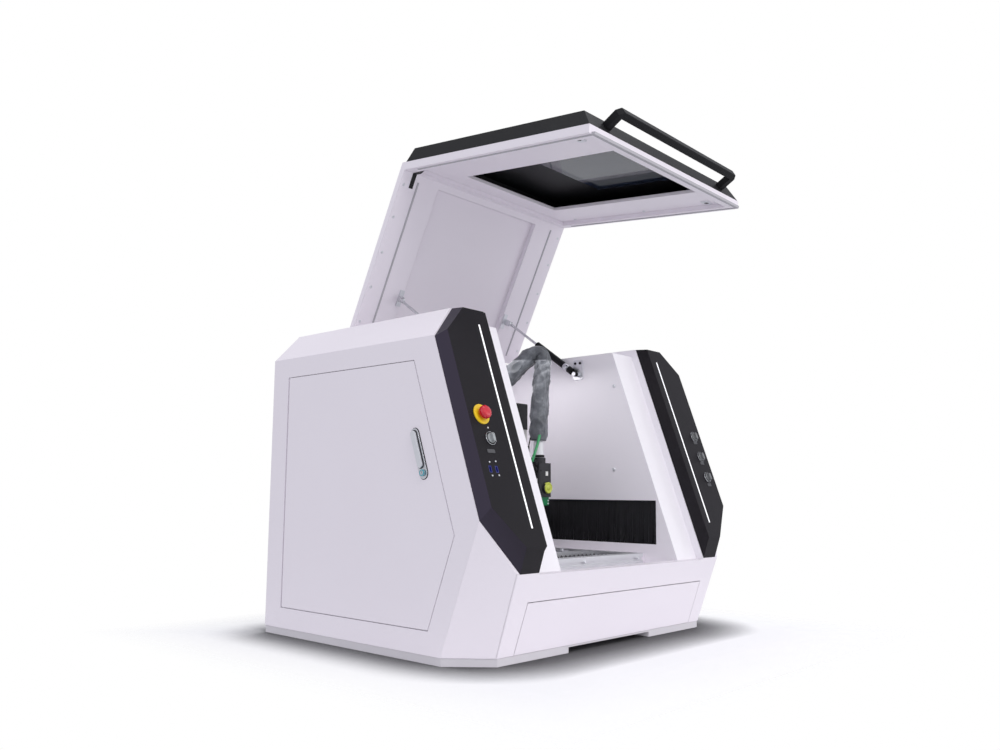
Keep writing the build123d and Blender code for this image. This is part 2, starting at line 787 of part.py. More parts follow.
def lid_fittings():
    """Strut ears under the roof flanges and the catch plates at the lower corners."""
    y, z = strut_head
    base_h = body_h - lid_t
    inner = strut_x - eye_w / 2 - gap - 4
    ear = strut_ear(strut_head, base_h, inner, 9)
    ear += block((tray_half_w + 2, inner + 4), (y - 24, y + 24), (base_h - 3, base_h))
    ear += rod(6, "X", (y, z), (inner - 3, inner))
    plate_x = lid_half_w - rim_w - 22
    plate = slope * block((plate_x, plate_x + 40), (end_v + 24, end_v + 46), (rim_recess - lid_t - 1.5, rim_recess - lid_t))
    plate -= slope * Pos(plate_x + 20, end_v + 35, -lid_t) * Cylinder(4, 60)
    plate &= slope * block((0, lid_half_w - rim_w), (end_v, 0), (-lid_t, lid_t))
    parts = [ear, plate]
    return Compound([opened(part) for part in parts] + [opened(mirror(part, about=Plane.YZ)) for part in parts])


def lid_leaves():
    """Moving hinge leaves, each with a middle knuckle that turns on the pin."""
    leaves = []
    for x in (-hinge_spacing, 0, hinge_spacing):
        half = hinge_length / 4 - gap
        leaf = block((x - hinge_length / 2, x + hinge_length / 2),
                     (roof_rear_y - leaf_w, roof_rear_y), (body_h, body_h + leaf_t))
        leaf += block((x - half, x + half), (roof_rear_y - 1, hinge_y), (body_h, body_h + leaf_t))
        leaf += rod(knuckle_r, "X", (hinge_y, hinge_h), (x - half, x + half))
        leaf -= rod(hinge_pin_r + pin_fit, "X", (hinge_y, hinge_h), (x - half - 1, x + half + 1))
        leaves.append(opened(leaf))
    return Compound(leaves)


def hinge_leaves():
    """Fixed hinge leaves with the outer knuckles and the pins."""
    leaves = []
    for x in (-hinge_spacing, 0, hinge_spacing):
        half = hinge_length / 2
        leaf = block((x - half, x + half), (strip_y, strip_y + leaf_w), (body_h, body_h + leaf_t))
        leaf += rod(hinge_pin_r, "X", (hinge_y, hinge_h), (x - half, x + half))
        for low in (x - half, x + half / 2):
            leaf += block((low, low + half / 2), (hinge_y, strip_y + 1), (body_h, body_h + leaf_t))
            leaf += rod(knuckle_r, "X", (hinge_y, hinge_h), (low, low + half / 2))
        leaves.append(leaf)
    return Compound(leaves)


# Gas struts


strut_tip = opened_yz(strut_head)
strut_run = (strut_tip[0] - strut_foot[0], strut_tip[1] - strut_foot[1])
strut_length = hypot(*strut_run)
strut_deg = degrees(atan2(strut_run[1], strut_run[0]))
strut_place = Plane(origin=(strut_x, *strut_foot), x_dir=(1, 0, 0),
                    z_dir=(0, strut_run[0], strut_run[1])).location


def eye(z):
    """End eye across the strut at a distance along it."""
    return Pos(0, 0, z) * Rot(0, 90, 0) * Cylinder(eye_r, eye_w)


def strut_tube():
    """Pressure tube with its foot eye and a blind bore for the rod."""
    shape = eye(0) + rod(neck_r, "Z", (0, 0), (0, 20))
    shape += rod(strut_r, "Z", (0, 0), (14, strut_tube_length))
    shape -= Rot(0, 90, 0) * Cylinder(strut_pin_r + pin_fit, 2 * eye_w)
    bore_z = (strut_tube_length - strut_bore_length, strut_tube_length)
    return strut_place * (shape - rod(rod_r + gap, "Z", (0, 0), bore_z))


def strut_rod():
    """Piston rod with its head eye."""
    tail = strut_tube_length - rod_tail
    shape = rod(rod_r, "Z", (0, 0), (tail, strut_length)) + rod(neck_r, "Z", (0, 0), (strut_length - 18, strut_length))
    return strut_place * (shape + eye(strut_length))


def strut_brackets():
    """Wall brackets with the foot pins of the struts."""
    y, z = strut_foot
    plate = block((cabin_half_w - 3.5, cabin_half_w), (y - 18, y + 18), (z - 16, z + 44))
    plate = chamfer(plate.edges().filter_by(Axis.X), 5)
    inner = strut_x - eye_w / 2
    pin = rod(strut_pin_r, "X", (y, z), (inner - 3, cabin_half_w))
    pin += rod(7, "X", (y, z), (strut_x + eye_w / 2 + gap, cabin_half_w))
    pin += rod(6, "X", (y, z), (inner - 3, inner - gap))
    bracket = plate + pin
    return Compound([bracket, mirror(bracket, about=Plane.YZ)])


# Motion system


frame_top = deck_h - skin + tube
rail_top = frame_top + rail_h


def y_rails():
    """Linear rails on the long tubes of the frame."""
    rail = block((rail_tube_x - rail_w / 2, rail_tube_x + rail_w / 2), (slot_front_y, slot_rear_y), (frame_top, rail_top))
    rail -= both_sides_groove(rail_tube_x, (slot_front_y, slot_rear_y), frame_top + rail_h * 0.55)
    return Compound([rail, mirror(rail, about=Plane.YZ)])


def both_sides_groove(x, y, z):
    """Ball tracks along the two flanks of a rail."""
    half = rail_w / 2
    return block((x - half, x - half + 1.5), y, (z - 2, z + 2)) + block((x + half - 1.5, x + half), y, (z - 2, z + 2))


def y_screw():
    """Ball screw that drives the beam."""
    y = (front_tube_y - tube / 2 - 15, cabin_rear_y + 3)
    return rod(screw_r, "Y", (-screw_x, screw_h), y)


def y_drive():
    """Bearing blocks of the screw and its motor on the left frame tube."""
    wall_x = -(rail_tube_x + rail_tube_w / 2)
    low_h = deck_h - skin
    parts = []
    for y in (front_tube_y - tube / 2, cabin_rear_y - 30):
        post = block((-screw_x - 16, wall_x), (y - 10, y + 10), (low_h, screw_h + 18))
        parts.append(post - rod(screw_r + pin_fit, "Y", (-screw_x, screw_h), (y - 11, y + 11)))
    half = motor_w / 2
    y = cabin_rear_y + 10
    motor = block((-screw_x - half, -screw_x + half), (y, y + motor_l), (screw_h - half, screw_h + half))
    motor = chamfer(motor.edges().filter_by(Axis.Y), 5)
    mount = block((-screw_x - half, -screw_x + half), (cabin_rear_y - 20, y), (screw_h - half, screw_h + half))
    mount -= rod(screw_r + 6, "Y", (-screw_x, screw_h), (cabin_rear_y - 21, y - 3))
    parts[-1] = parts[-1] + mount + motor
    return Compound(parts)


def gantry_beam():
    """Hollow cross beam with its rail blocks and the nut for the screw."""
    y, z = (beam_front_y, beam_front_y + beam_d), (beam_low_h, beam_low_h + beam_h)
    w = beam_wall
    shape = block((-beam_half_w, beam_half_w), y, z)
    shape -= block((-beam_half_w, beam_half_w), (y[0] + w, y[1] - w), (z[0] + w, z[1] - w))
    for hand in (-1, 1):
        x = hand * rail_tube_x
        slider = block((x - 17, x + 17), (y[0] + 8, y[1] - 8), (frame_top + 4, beam_low_h))
        slider -= block((x - rail_w / 2 - gap, x + rail_w / 2 + gap), y, (frame_top, rail_top + gap))
        shape += slider
    nut = block((-screw_x - 16, -beam_half_w), (y[0] + 20, y[1] - 20), (screw_h - 16, screw_h + 16))
    shape += nut - rod(screw_r + pin_fit, "Y", (-screw_x, screw_h), y)
    half = rail_w / 2
    for rail_z in x_rail_heights:
        shape += block((-x_rail_half, x_rail_half), (y[0] - x_rail_h, y[0]), (rail_z - half, rail_z + half))
    return shape


x_rail_half = 236.0
x_rail_heights = (beam_low_h + 18, beam_low_h + beam_h - 18)


def x_carriage():
    """Plate on the beam's rails with the housing of the lift axis."""
    back = beam_front_y - x_rail_h - 10
    x = (head_x - carriage_w / 2, head_x + carriage_w / 2)
    shape = block(x, (back - carriage_t, back), (beam_low_h, carriage_top_h))
    half = rail_w / 2 + gap
    for z in x_rail_heights:
        slider = block(x, (back, back + 20), (z - 15, z + 15))
        shape += slider - block(x, (beam_front_y - x_rail_h - gap, beam_front_y), (z - half, z + half))
    mx = (head_x - module_w / 2, head_x + module_w / 2)
    y = (module_front_y, back - carriage_t)
    housing = block(mx, y, (module_low_h, carriage_top_h))
    housing = chamfer(housing.edges().filter_by(Axis.Z).sort_by(Axis.Y)[:2], 6)
    arm = block((cable_end[0] - 22, x[0]), (back - carriage_t, back), (carriage_top_h - 60, carriage_top_h))
    arm += block((cable_end[0] - 22, cable_end[0] + 30), (back - carriage_t, back + 24), (carriage_top_h - 6, carriage_top_h))
    return shape + housing + arm


module_low_h = 300.0
module_mid_y = (module_front_y + beam_front_y - x_rail_h - 10 - carriage_t) / 2
cable_end = (-60.0, 130.0)


def z_motor():
    """Lift motor with its coupling housing on top of the module."""
    half = motor_w / 2
    top = carriage_top_h
    y = (module_mid_y - half, module_mid_y + half)
    coupling = block((head_x - 24, head_x + 24), (module_mid_y - 24, module_mid_y + 24), (top, top + 46))
    motor = block((head_x - half, head_x + half), y, (top + 46, top + 120))
    motor = chamfer(motor.edges().filter_by(Axis.Z), 7)
    motor = fillet(motor.faces().sort_by(Axis.Z)[-1].edges(), 4)
    return coupling + motor


def cutting_head():
    """Lift plate, its arm and the body of the cutting head."""
    plate = block((head_x - 30, head_x + 30), (module_front_y - gap - 10, module_front_y - gap), (head_low_h, head_top_h - 4))
    arm = block((head_x - 20, head_x + 20), (head_y + head_w / 2, module_front_y - gap - 10), (head_low_h + 30, head_top_h - 14))
    half = head_w / 2
    body = block((head_x - half, head_x + half), (head_y - half, head_y + half), (head_low_h, head_top_h - neck_h))
    body = chamfer(body.edges().filter_by(Axis.Z), 3)
    body += rod(collimator_r + 6, "Z", (head_x, head_y), (head_top_h - neck_h, head_top_h))
    cap = rod(13, "Y", (head_x, head_low_h + 24), (head_y - half - 5, head_y - half))
    tuner = rod(9, "X", (head_y, head_low_h + 66), (head_x - half - 12, head_x - half))
    side = block((head_x - half - 9, head_x - half), (head_y - 12, head_y + 12), (head_low_h + 8, head_low_h + 46))
    return plate + arm + body + cap + tuner + side


def collimator():
    """Fibre connector stack on top of the head."""
    z = head_top_h
    top = z + collimator_h
    points = [(0, z), (collimator_r, z), (collimator_r, top - 5), (collimator_r - 3, top), (0, top)]
    return Pos(head_x, head_y, 0) * revolve(Plane.XZ * Polygon(*points, align=None), Axis.Z)


def nozzle():
    """Sensor block and copper nozzle under the head."""
    z = head_low_h
    block_low = z - 23
    body = block((head_x - 28, head_x + 28), (head_y - 20, head_y + 20), (block_low, z))
    body = chamfer(body.edges().filter_by(Axis.Z), 6)
    points = [(0, nozzle_tip_h), (3, nozzle_tip_h), (12, block_low - 6), (14, block_low), (0, block_low)]
    return body + Pos(head_x, head_y, 0) * revolve(Plane.XZ * Polygon(*points, align=None), Axis.Z)


def head_cables():
    """Fabric sleeve with the fibre and hoses, arched from the carriage over to the head."""
    low = head_top_h + collimator_h
    end_h = carriage_top_h + 4 * gap
    route = [(head_x, head_y, low), (head_x + 4, head_y, low + 110), (head_x + 20, head_y, low + 262),
             (head_x - 62, head_y + 80, low + 162),
             (cable_end[0], cable_end[1], end_h + 84), (cable_end[0], cable_end[1], end_h)]
    radii = corner_radii(route)
    path = FilletPolyline(*route, radius=radii)
    return sweep(Plane(origin=route[0], z_dir=(0, 0, 1)) * Circle(sleeve_r), path=path)


def corner_radii(route):
    """Radius of the arc at each inner point: 0.45 of the shorter run over the tangent of half the turn."""
    points = [Vector(*p) for p in route]
    radii = []
    for a, b, c in zip(points, points[1:], points[2:]):
        turn = radians((b - a).get_angle(c - b))
        radii.append(0.45 * min((b - a).length, (c - b).length) / tan(turn / 2))
    return radii


def slot_brushes():
    """Bristle curtains over the wall slots, parted where the beam passes."""
    x = (cabin_half_w + skin, cabin_half_w + skin + brush_t)
    z = (slot_low_h - brush_lap, slot_top_h + brush_lap)
    spans = ((slot_front_y - brush_lap, beam_front_y - 2), (beam_front_y + beam_d + 2, slot_rear_y + brush_lap))
    strips = [block(x, span, z) for span in spans]
    return Compound(strips + [mirror(strip, about=Plane.YZ) for strip in strips])


# Scrap drawer and what stands in the cabinets


def scrap_drawer():
    """Drawer with its sloping front flush in the front panel."""
    x = (-drawer_tray_half_w, drawer_tray_half_w)
    tray = block(x, (2 * sill_y, drawer_rear_y), (gap, drawer_h - 3)) & shell_inner
    x = (x[0] + drawer_wall, x[1] - drawer_wall)
    hollow = block(x, (2 * sill_y, drawer_rear_y - drawer_wall), (gap + drawer_wall, body_h))
    tray -= hollow & hull(skin + drawer_wall)
    front = front_skin & block((-drawer_half_w, drawer_half_w), (2 * sill_y, 0), (gap, drawer_h))
    return tray + front


def laser_source():
    """Laser source in the left cabinet: a finned case with two handles."""
    x, y, z = (-478, -372), (-20, 395), (0, 330)
    case = block(x, y, z)
    for i in range(12):
        case -= block((x[0], x[0] + 4), (y[0] + 30 + 30 * i, y[0] + 44 + 30 * i), (60, 270))
    case += both_handles(x[0], (y[0] + 15, y[1] - 15), 300)
    return case


def both_handles(x, ys, z):
    """Two short bar handles standing out of a case."""
    shape = None
    for y in ys:
        bow = block((x - 8, x), (y - 5, y + 5), (z - 60, z)) - block((x - 4, x), (y - 6, y + 6), (z - 50, z - 10))
        shape = bow if shape is None else shape + bow
    return shape


def electronics():
    """Mounting plate in the right cabinet with the controller, the drives and a power supply."""
    plate = block((358, 361), (-60, 395), (0, 560))
    parts = block((361, 421), (20, 250), (300, 470)) + block((361, 401), (20, 200), (60, 230))
    for i in range(3):
        drive = block((361, 451), (226 + 52 * i, 268 + 52 * i), (60, 220))
        for row in range(5):
            drive -= block((445, 451), (230 + 52 * i, 264 + 52 * i), (80 + 26 * row, 92 + 26 * row))
        parts += drive
    parts += block((361, 369), (20, 380), (255, 272))
    return plate + parts


def exhaust_spigot():
    """Extraction stub through the rear panel with its flange and bead."""
    y = rear_y
    flange = rod(spigot_r + 14, "Y", (0, spigot_h), (y, y + 2))
    stub = rod(spigot_r, "Y", (0, spigot_h), (y - skin, y + 45))
    return flange + stub - rod(spigot_r - 1.5, "Y", (0, spigot_h), (y - skin, y + 45))


def power_inlet():
    """Mains inlet with its pin recess in the rear panel."""
    x, z, half = inlet
    body = block((x - half, x + half), (rear_y - 30, rear_y), (z - half, z + half))
    body += block((x - half - 6, x + half + 6), (rear_y, rear_y + 3), (z - half, z + half))
    body -= block((x - 13, x + 13), (rear_y - 17, rear_y + 3), (z - 11, z + 7))
    for pin_x in (-7, 0, 7):
        body += block((x + pin_x - 1, x + pin_x + 1), (rear_y - 17, rear_y - 2), (z - 4, z + 1))
    return body


def main():
    nodes = {
        "base_plate": base_plate(),
        "motion_frame": motion_frame(),
        "right_cheek": cheek(),
        "left_cheek": mirror(cheek(), about=Plane.YZ),
        "front_panel": front_panel(),
        "rear_panel": rear_panel(),
        "right_inner_wall": inner_wall(),
        "left_inner_wall": mirror(inner_wall(), about=Plane.YZ),
        "cabin_rear_wall": cabin_rear_wall(),
        "cabin_floor": cabin_floor(),
        "work_table": work_table(),
        "table_slats": table_slats(),
        "table_clamps": table_clamps(),
        "left_pod": left_pod(),
        "right_pod": right_pod(),
        "light_bars": light_bars(),
        "estop_disc": estop_disc(),
        "estop_head": estop_head(),
        "switch_rings": switch_rings(),
        "selector_knob": turn_knob(pod_face(-selector_x, selector_h)),
        "usb_ports": usb_ports(),
        "slot_brushes": slot_brushes(),
        "strut_brackets": strut_brackets(),
        "hinge_leaves": hinge_leaves(),
        "y_rails": y_rails(),
        "y_screw": y_screw(),
        "y_drive": y_drive(),
        "laser_source": laser_source(),
        "electronics": electronics(),
        "exhaust_spigot": exhaust_spigot(),
        "power_inlet": power_inlet(),
        "door_pins": door_pins(),
        "lid_shell": lid_shell(),
        "window_cover": window_cover(),
        "window_glass": window_glass(),
        "lid_handle": lid_handle(),
        "lid_seal": lid_seal(),
        "lid_fittings": lid_fittings(),
        "lid_leaves": lid_leaves(),
        "gantry_beam": gantry_beam(),
        "x_carriage": x_carriage(),
        "z_motor": z_motor(),
        "cutting_head": cutting_head(),
        "collimator": collimator(),
        "nozzle": nozzle(),
        "head_cables": head_cables(),
        "scrap_drawer": scrap_drawer(),
    }
    for i, z in enumerate(switch_heights):
        nodes[f"switch_knob_{i + 1}"] = turn_knob(pod_face(control_x, z))
    for name, shape in {"door": door(), "lock_plate": lock_plate(), "lock_lever": lock_lever(),
                        "strut_tube": strut_tube(), "strut_rod": strut_rod()}.items():
        nodes["right_" + name] = shape
        nodes["left_" + name] = mirror(shape, about=Plane.YZ)
    os.makedirs("parts", exist_ok=True)
    for name, shape in nodes.items():
        export_step(Pos(0, 0, plinth_h) * shape, f"parts/{name}.step")


main()
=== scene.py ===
import bmesh
import bpy
import json
from math import cos, pi, radians, sin
from mathutils import Matrix, Vector, noise
from random import Random


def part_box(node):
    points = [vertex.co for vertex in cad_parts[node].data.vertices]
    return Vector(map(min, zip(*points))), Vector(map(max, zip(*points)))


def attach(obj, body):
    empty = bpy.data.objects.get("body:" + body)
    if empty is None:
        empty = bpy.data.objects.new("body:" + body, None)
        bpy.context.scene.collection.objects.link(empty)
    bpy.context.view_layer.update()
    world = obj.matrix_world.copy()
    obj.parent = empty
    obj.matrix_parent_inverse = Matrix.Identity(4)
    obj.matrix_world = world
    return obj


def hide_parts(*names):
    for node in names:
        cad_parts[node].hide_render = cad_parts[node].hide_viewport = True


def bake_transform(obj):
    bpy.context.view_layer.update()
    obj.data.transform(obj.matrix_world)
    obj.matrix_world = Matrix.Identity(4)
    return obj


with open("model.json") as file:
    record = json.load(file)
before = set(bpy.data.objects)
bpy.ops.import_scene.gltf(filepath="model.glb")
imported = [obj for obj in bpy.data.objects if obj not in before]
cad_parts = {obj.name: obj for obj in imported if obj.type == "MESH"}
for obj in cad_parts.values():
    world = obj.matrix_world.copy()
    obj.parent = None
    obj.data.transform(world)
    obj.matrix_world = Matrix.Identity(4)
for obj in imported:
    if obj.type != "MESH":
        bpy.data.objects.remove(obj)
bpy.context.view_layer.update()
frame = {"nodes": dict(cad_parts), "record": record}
nodes = frame["nodes"]
slot_of = {s["node"]: s["material_slot"] for s in frame["record"]["subparts"]}

# Places and sizes of the machine that the dressing pieces follow, in metres. The lid's own places are
# given as if it were shut, and swing() opens it as the part rests.
slope_angle = radians(70.4)
slope_out = Vector((0, -sin(slope_angle), cos(slope_angle)))
slope_up = Vector((0, cos(slope_angle), sin(slope_angle)))
brow = Vector((0, -0.120282, 0.798))  # where the slope meets the roof
hinge = Vector((0, 0.373, 0.800))
lid_angle = radians(64)
plinth_top = 0.018
pod_face = 0.036  # out from the slope
wall_x = 0.25  # inner side walls, either way from the middle
strut_x = 0.233
door_x = 0.500
lock_y, lock_z = -0.107, 0.437 + plinth_top
head_x, head_y, head_half = 0.050, 0.0045, 0.026

across, frontward, upward = (1, 0, 0), (0, -1, 0), (0, 0, 1)
sides = (("left", -1), ("right", 1))


# Shader building


class Value:
    """One node socket with the arithmetic that the finishes need."""

    def __init__(self, look, socket):
        self.look = look
        self.socket = socket

    def _maths(self, operation, *others):
        sockets = dict(enumerate((self, *others)))
        return self.look.node("ShaderNodeMath", {"operation": operation}, sockets)[0]

    def __add__(self, other):
        return self._maths("ADD", other)

    __radd__ = __add__

    def __mul__(self, other):
        return self._maths("MULTIPLY", other)

    __rmul__ = __mul__

    def __sub__(self, other):
        return self._maths("SUBTRACT", other)

    def __rsub__(self, other):
        return self * -1 + other

    def __truediv__(self, other):
        return self._maths("DIVIDE", other)

    def absolute(self):
        return self._maths("ABSOLUTE")

    def above(self, other):
        return self._maths("MAXIMUM", other)

    def power(self, other):
        return self._maths("POWER", other)

    def wave(self):
        return self._maths("SINE")

    def clamp(self, low=0.0, high=1.0):
        return self.look.node("ShaderNodeClamp", {}, {"Value": self, "Min": low, "Max": high})[0]


class Look:
    """A material under construction."""

    def __init__(self, name):
        self.material = bpy.data.materials.new(name)
        self.material.use_nodes = True
        self.tree = self.material.node_tree
        self.surface = next(n for n in self.tree.nodes if n.type == "BSDF_PRINCIPLED")
        self.place = self.node("ShaderNodeTexCoord", {}, {})["Object"]

    def node(self, kind, settings, sockets):
        made = self.tree.nodes.new(kind)
        for key, value in settings.items():
            if key == "stops":
                ramp = made.color_ramp
                while len(ramp.elements) < len(value):
                    ramp.elements.new(0.5)
                for element, (at, color) in zip(ramp.elements, value):
                    element.position = at
                    element.color = (*color, 1) if len(color) == 3 else color
            else:
                setattr(made, key, value)
        for key, value in sockets.items():
            self.feed(made.inputs[key], value)
        return Outputs(self, made)

    def feed(self, socket, value):
        if isinstance(value, Value):
            self.tree.links.new(value.socket, socket)
        elif hasattr(socket.default_value, "__len__") and hasattr(value, "__len__") and len(value) == 3 \
                and len(socket.default_value) == 4:
            socket.default_value = (*value, 1)
        else:
            socket.default_value = value

    def set(self, **sockets):
        for key, value in sockets.items():
            self.feed(self.surface.inputs[key.replace("_", " ")], value)

    def noise(self, scale, detail=3.0, rough=0.5, vector=None):
        sockets = {"Vector": vector or self.place, "Scale": scale, "Detail": detail, "Roughness": rough}
        return self.node("ShaderNodeTexNoise", {}, sockets)["Fac"]

    def stretched(self, x, y, z):
        mapping = {"Vector": self.place, "Scale": (x, y, z)}
        return self.node("ShaderNodeMapping", {}, mapping)["Vector"]

    def axes(self):
        parts = self.node("ShaderNodeSeparateXYZ", {}, {"Vector": self.place})
        return parts["X"], parts["Y"], parts["Z"]

    def mix(self, amount, low, high):
        settings = {"data_type": "RGBA"}
        return self.node("ShaderNodeMix", settings, {0: amount, 6: low, 7: high})[2]

    def ramp(self, value, *stops):
        return self.node("ShaderNodeValToRGB", {"stops": stops}, {"Fac": value})["Color"]

    def bump(self, height, strength, distance, normal=None):
        sockets = {"Height": height, "Strength": strength, "Distance": distance}
        if normal is not None:
            sockets["Normal"] = normal
        return self.node("ShaderNodeBump", {}, sockets)["Normal"]

    def soft_edge(self, radius):
        return self.node("ShaderNodeBevel", {"samples": 4}, {"Radius": radius})["Normal"]


class Outputs:
    """Output sockets of a node by name or number."""

    def __init__(self, look, made):
        self.look = look
        self.made = made

    def __getitem__(self, key):
        return Value(self.look, self.made.outputs[key])


# Finishes


def powder_coat(name, color, shade):
    """Powder-coated sheet: a faint orange peel, cloudy tone and slightly worn sheen."""
    look = Look(name)
    cloud = look.noise(3.1, 2.0)
    grain = look.noise(900, 2.0, 0.6)
    peel = look.noise(260, 2.0, 0.55)
    tone = (cloud * 0.7 + grain * 0.3).clamp()
    look.set(Base_Color=look.mix(tone, color, shade), Roughness=peel * 0.10 + 0.37)
    look.set(Normal=look.bump(peel, 0.10, 0.0006, look.soft_edge(0.0022)), Specular_IOR_Level=0.45)
    return look.material


def moulded(name, color, shade, roughness, gloss):
    """Textured moulded plastic."""
    look = Look(name)
    grain = look.noise(1400, 2.0, 0.65)
    cloud = look.noise(8, 2.0)
    look.set(Base_Color=look.mix(cloud * 0.6 + grain * 0.4, color, shade))
    look.set(Roughness=grain * 0.16 + roughness - 0.08)
    look.set(Normal=look.bump(grain, 0.35, 0.0004, look.soft_edge(0.0012)), Specular_IOR_Level=gloss)
    return look.material


def pod_moulding(name, hand):
    """Textured black moulding whose outer bevel is painted a dull purple, a painted sheen on the faces turned
    sideways.
    """
    look = Look(name)
    grain = look.noise(1400, 2.0, 0.65)
    cloud = look.noise(8, 2.0)
    normal = look.node("ShaderNodeNewGeometry", {}, {})["Normal"]
    sideways = look.node("ShaderNodeSeparateXYZ", {}, {"Vector": normal})["X"]
    # Faces turned sideways get a dull purple: a painted sheen, not a colour of the plastic.
    painted_sheen_mask = ((sideways * hand - 0.35) * 2).clamp()
    front = look.mix(cloud * 0.6 + grain * 0.4, (0.009, 0.008, 0.010), (0.019, 0.017, 0.021))
    look.set(Base_Color=look.mix(painted_sheen_mask, front, (0.046, 0.038, 0.060)), Roughness=grain * 0.16 + 0.42)
    look.set(Normal=look.bump(grain, 0.35, 0.0004, look.soft_edge(0.0012)), Specular_IOR_Level=0.14)
    return look.material


def motor_case(split):
    """Black motor above a height, bright cast coupling housing below it."""
    look = Look("motor_case")
    z = look.axes()[2]
    speck = look.noise(700, 2.0, 0.7)
    bright = ((z * -1 + split) * 4000).clamp()
    black = look.mix(speck, (0.008, 0.008, 0.009), (0.022, 0.022, 0.024))
    cast = look.mix(speck, (0.52, 0.52, 0.50), (0.64, 0.64, 0.62))
    look.set(Base_Color=look.mix(bright, black, cast))
    look.set(Roughness=speck * 0.15 + 0.32, Metallic=bright * 0.5, Specular_IOR_Level=0.3)
    look.set(Normal=look.bump(speck, 0.25, 0.0004, look.soft_edge(0.001)))
    return look.material


def ground_metal(name, color, shade, stretch, roughness, metallic=1.0):
    """Metal with fine lines along one axis."""
    look = Look(name)
    lines = look.noise(1.0, 4.0, 0.6, look.stretched(*stretch))
    cloud = look.noise(14, 2.0)
    look.set(Base_Color=look.mix(lines * 0.6 + cloud * 0.4, color, shade), Metallic=metallic)
    look.set(Roughness=(lines * 0.22 + cloud * 0.08 + roughness - 0.15).clamp(0.05, 1))
    look.set(Normal=look.bump(lines, 0.12, 0.0002, look.soft_edge(0.0006)))
    return look.material


def polished_metal(name, color, shade, roughness=0.12):
    """Plated metal with faint finger smudges."""
    look = Look(name)
    smudge = look.noise(60, 3.0)
    look.set(Base_Color=look.mix(smudge, color, shade), Metallic=1.0)
    look.set(Roughness=smudge * 0.12 + roughness - 0.04)
    look.set(Normal=look.soft_edge(0.0006))
    return look.material


def glossy(name, color, shade, roughness, coat):
    """Smooth coloured plastic under a thin clear layer."""
    look = Look(name)
    cloud = look.noise(35, 3.0)
    look.set(Base_Color=look.mix(cloud, color, shade), Coat_Weight=coat)
    look.set(Roughness=cloud * 0.1 + roughness - 0.04)
    look.set(Normal=look.bump(look.noise(500), 0.05, 0.0003, look.soft_edge(0.0008)))
    return look.material


def tinted_glass():
    """Filter pane of the window, dark blue and slightly smeared."""
    look = Look("filter_glass")
    smear = look.noise(9, 3.0)
    look.set(Base_Color=look.mix(smear, (0.012, 0.018, 0.034), (0.022, 0.030, 0.050)))
    look.set(Roughness=smear * 0.05 + 0.03, Alpha=smear * 0.04 + 0.78, Coat_Weight=0.1)
    return look.material


def lit_diffuser():
    """Milky cover of a light bar, lit from behind."""
    look = Look("lit_diffuser")
    cells = look.noise(220, 1.0)
    white = look.mix(cells, (0.92, 0.93, 0.96), (1.0, 1.0, 1.0))
    look.set(Base_Color=white, Emission_Color=white, Emission_Strength=0.55, Roughness=cells * 0.1 + 0.3)
    return look.material


def bristle_nylon():
    """Dark nylon with a slightly different tone from tuft to tuft."""
    look = Look("bristle_nylon")
    tuft = look.noise(1.0, 2.0, 0.6, look.stretched(90, 620, 3))
    look.set(Base_Color=look.ramp(tuft, (0.3, (0.004, 0.004, 0.005)), (0.75, (0.035, 0.035, 0.04))))
    look.set(Roughness=tuft * 0.2 + 0.45, Specular_IOR_Level=0.35)
    return look.material


def sleeve_cloth():
    """Woven sleeve: crossed threads over soft creases, with painted shade in the creases and painted highlights
    on the crests.
    """
    look = Look("sleeve_cloth")
    x, y, z = look.axes()
    warp = ((x + y) * 2600).wave()
    weft = (z * 2600).wave()
    weave = (warp * weft * 0.5 + 0.5).clamp()
    crease_relief_and_shade = look.noise(26, 4.0, 0.6)
    worn = look.noise(90, 3.0)
    # The creases' noise darkens the colour in the troughs and lightens it on the crests: painted shade and
    # painted highlights over a random tone.
    stops = (0.32, (0.040, 0.044, 0.050)), (0.5, (0.085, 0.092, 0.104)), (0.68, (0.20, 0.212, 0.232))
    tone = look.ramp(crease_relief_and_shade * 0.75 + worn * 0.25, *stops)
    look.set(Base_Color=look.mix(weave * 0.16, tone, (0.34, 0.36, 0.39)), Roughness=worn * 0.14 + 0.32)
    look.set(Normal=look.bump(weave, 0.25, 0.0003, look.bump(crease_relief_and_shade, 0.5, 0.004)), Sheen_Weight=0.25,
             Sheen_Roughness=0.4)
    return look.material


def stoved_coat(name, color, shade, roughness, gloss):
    """Thin black coat on metal with a fine speckle."""
    look = Look(name)
    speck = look.noise(700, 2.0, 0.7)
    look.set(Base_Color=look.mix(speck, color, shade), Roughness=speck * 0.15 + roughness - 0.07)
    look.set(Normal=look.bump(speck, 0.25, 0.0004, look.soft_edge(0.001)), Specular_IOR_Level=gloss)
    return look.material


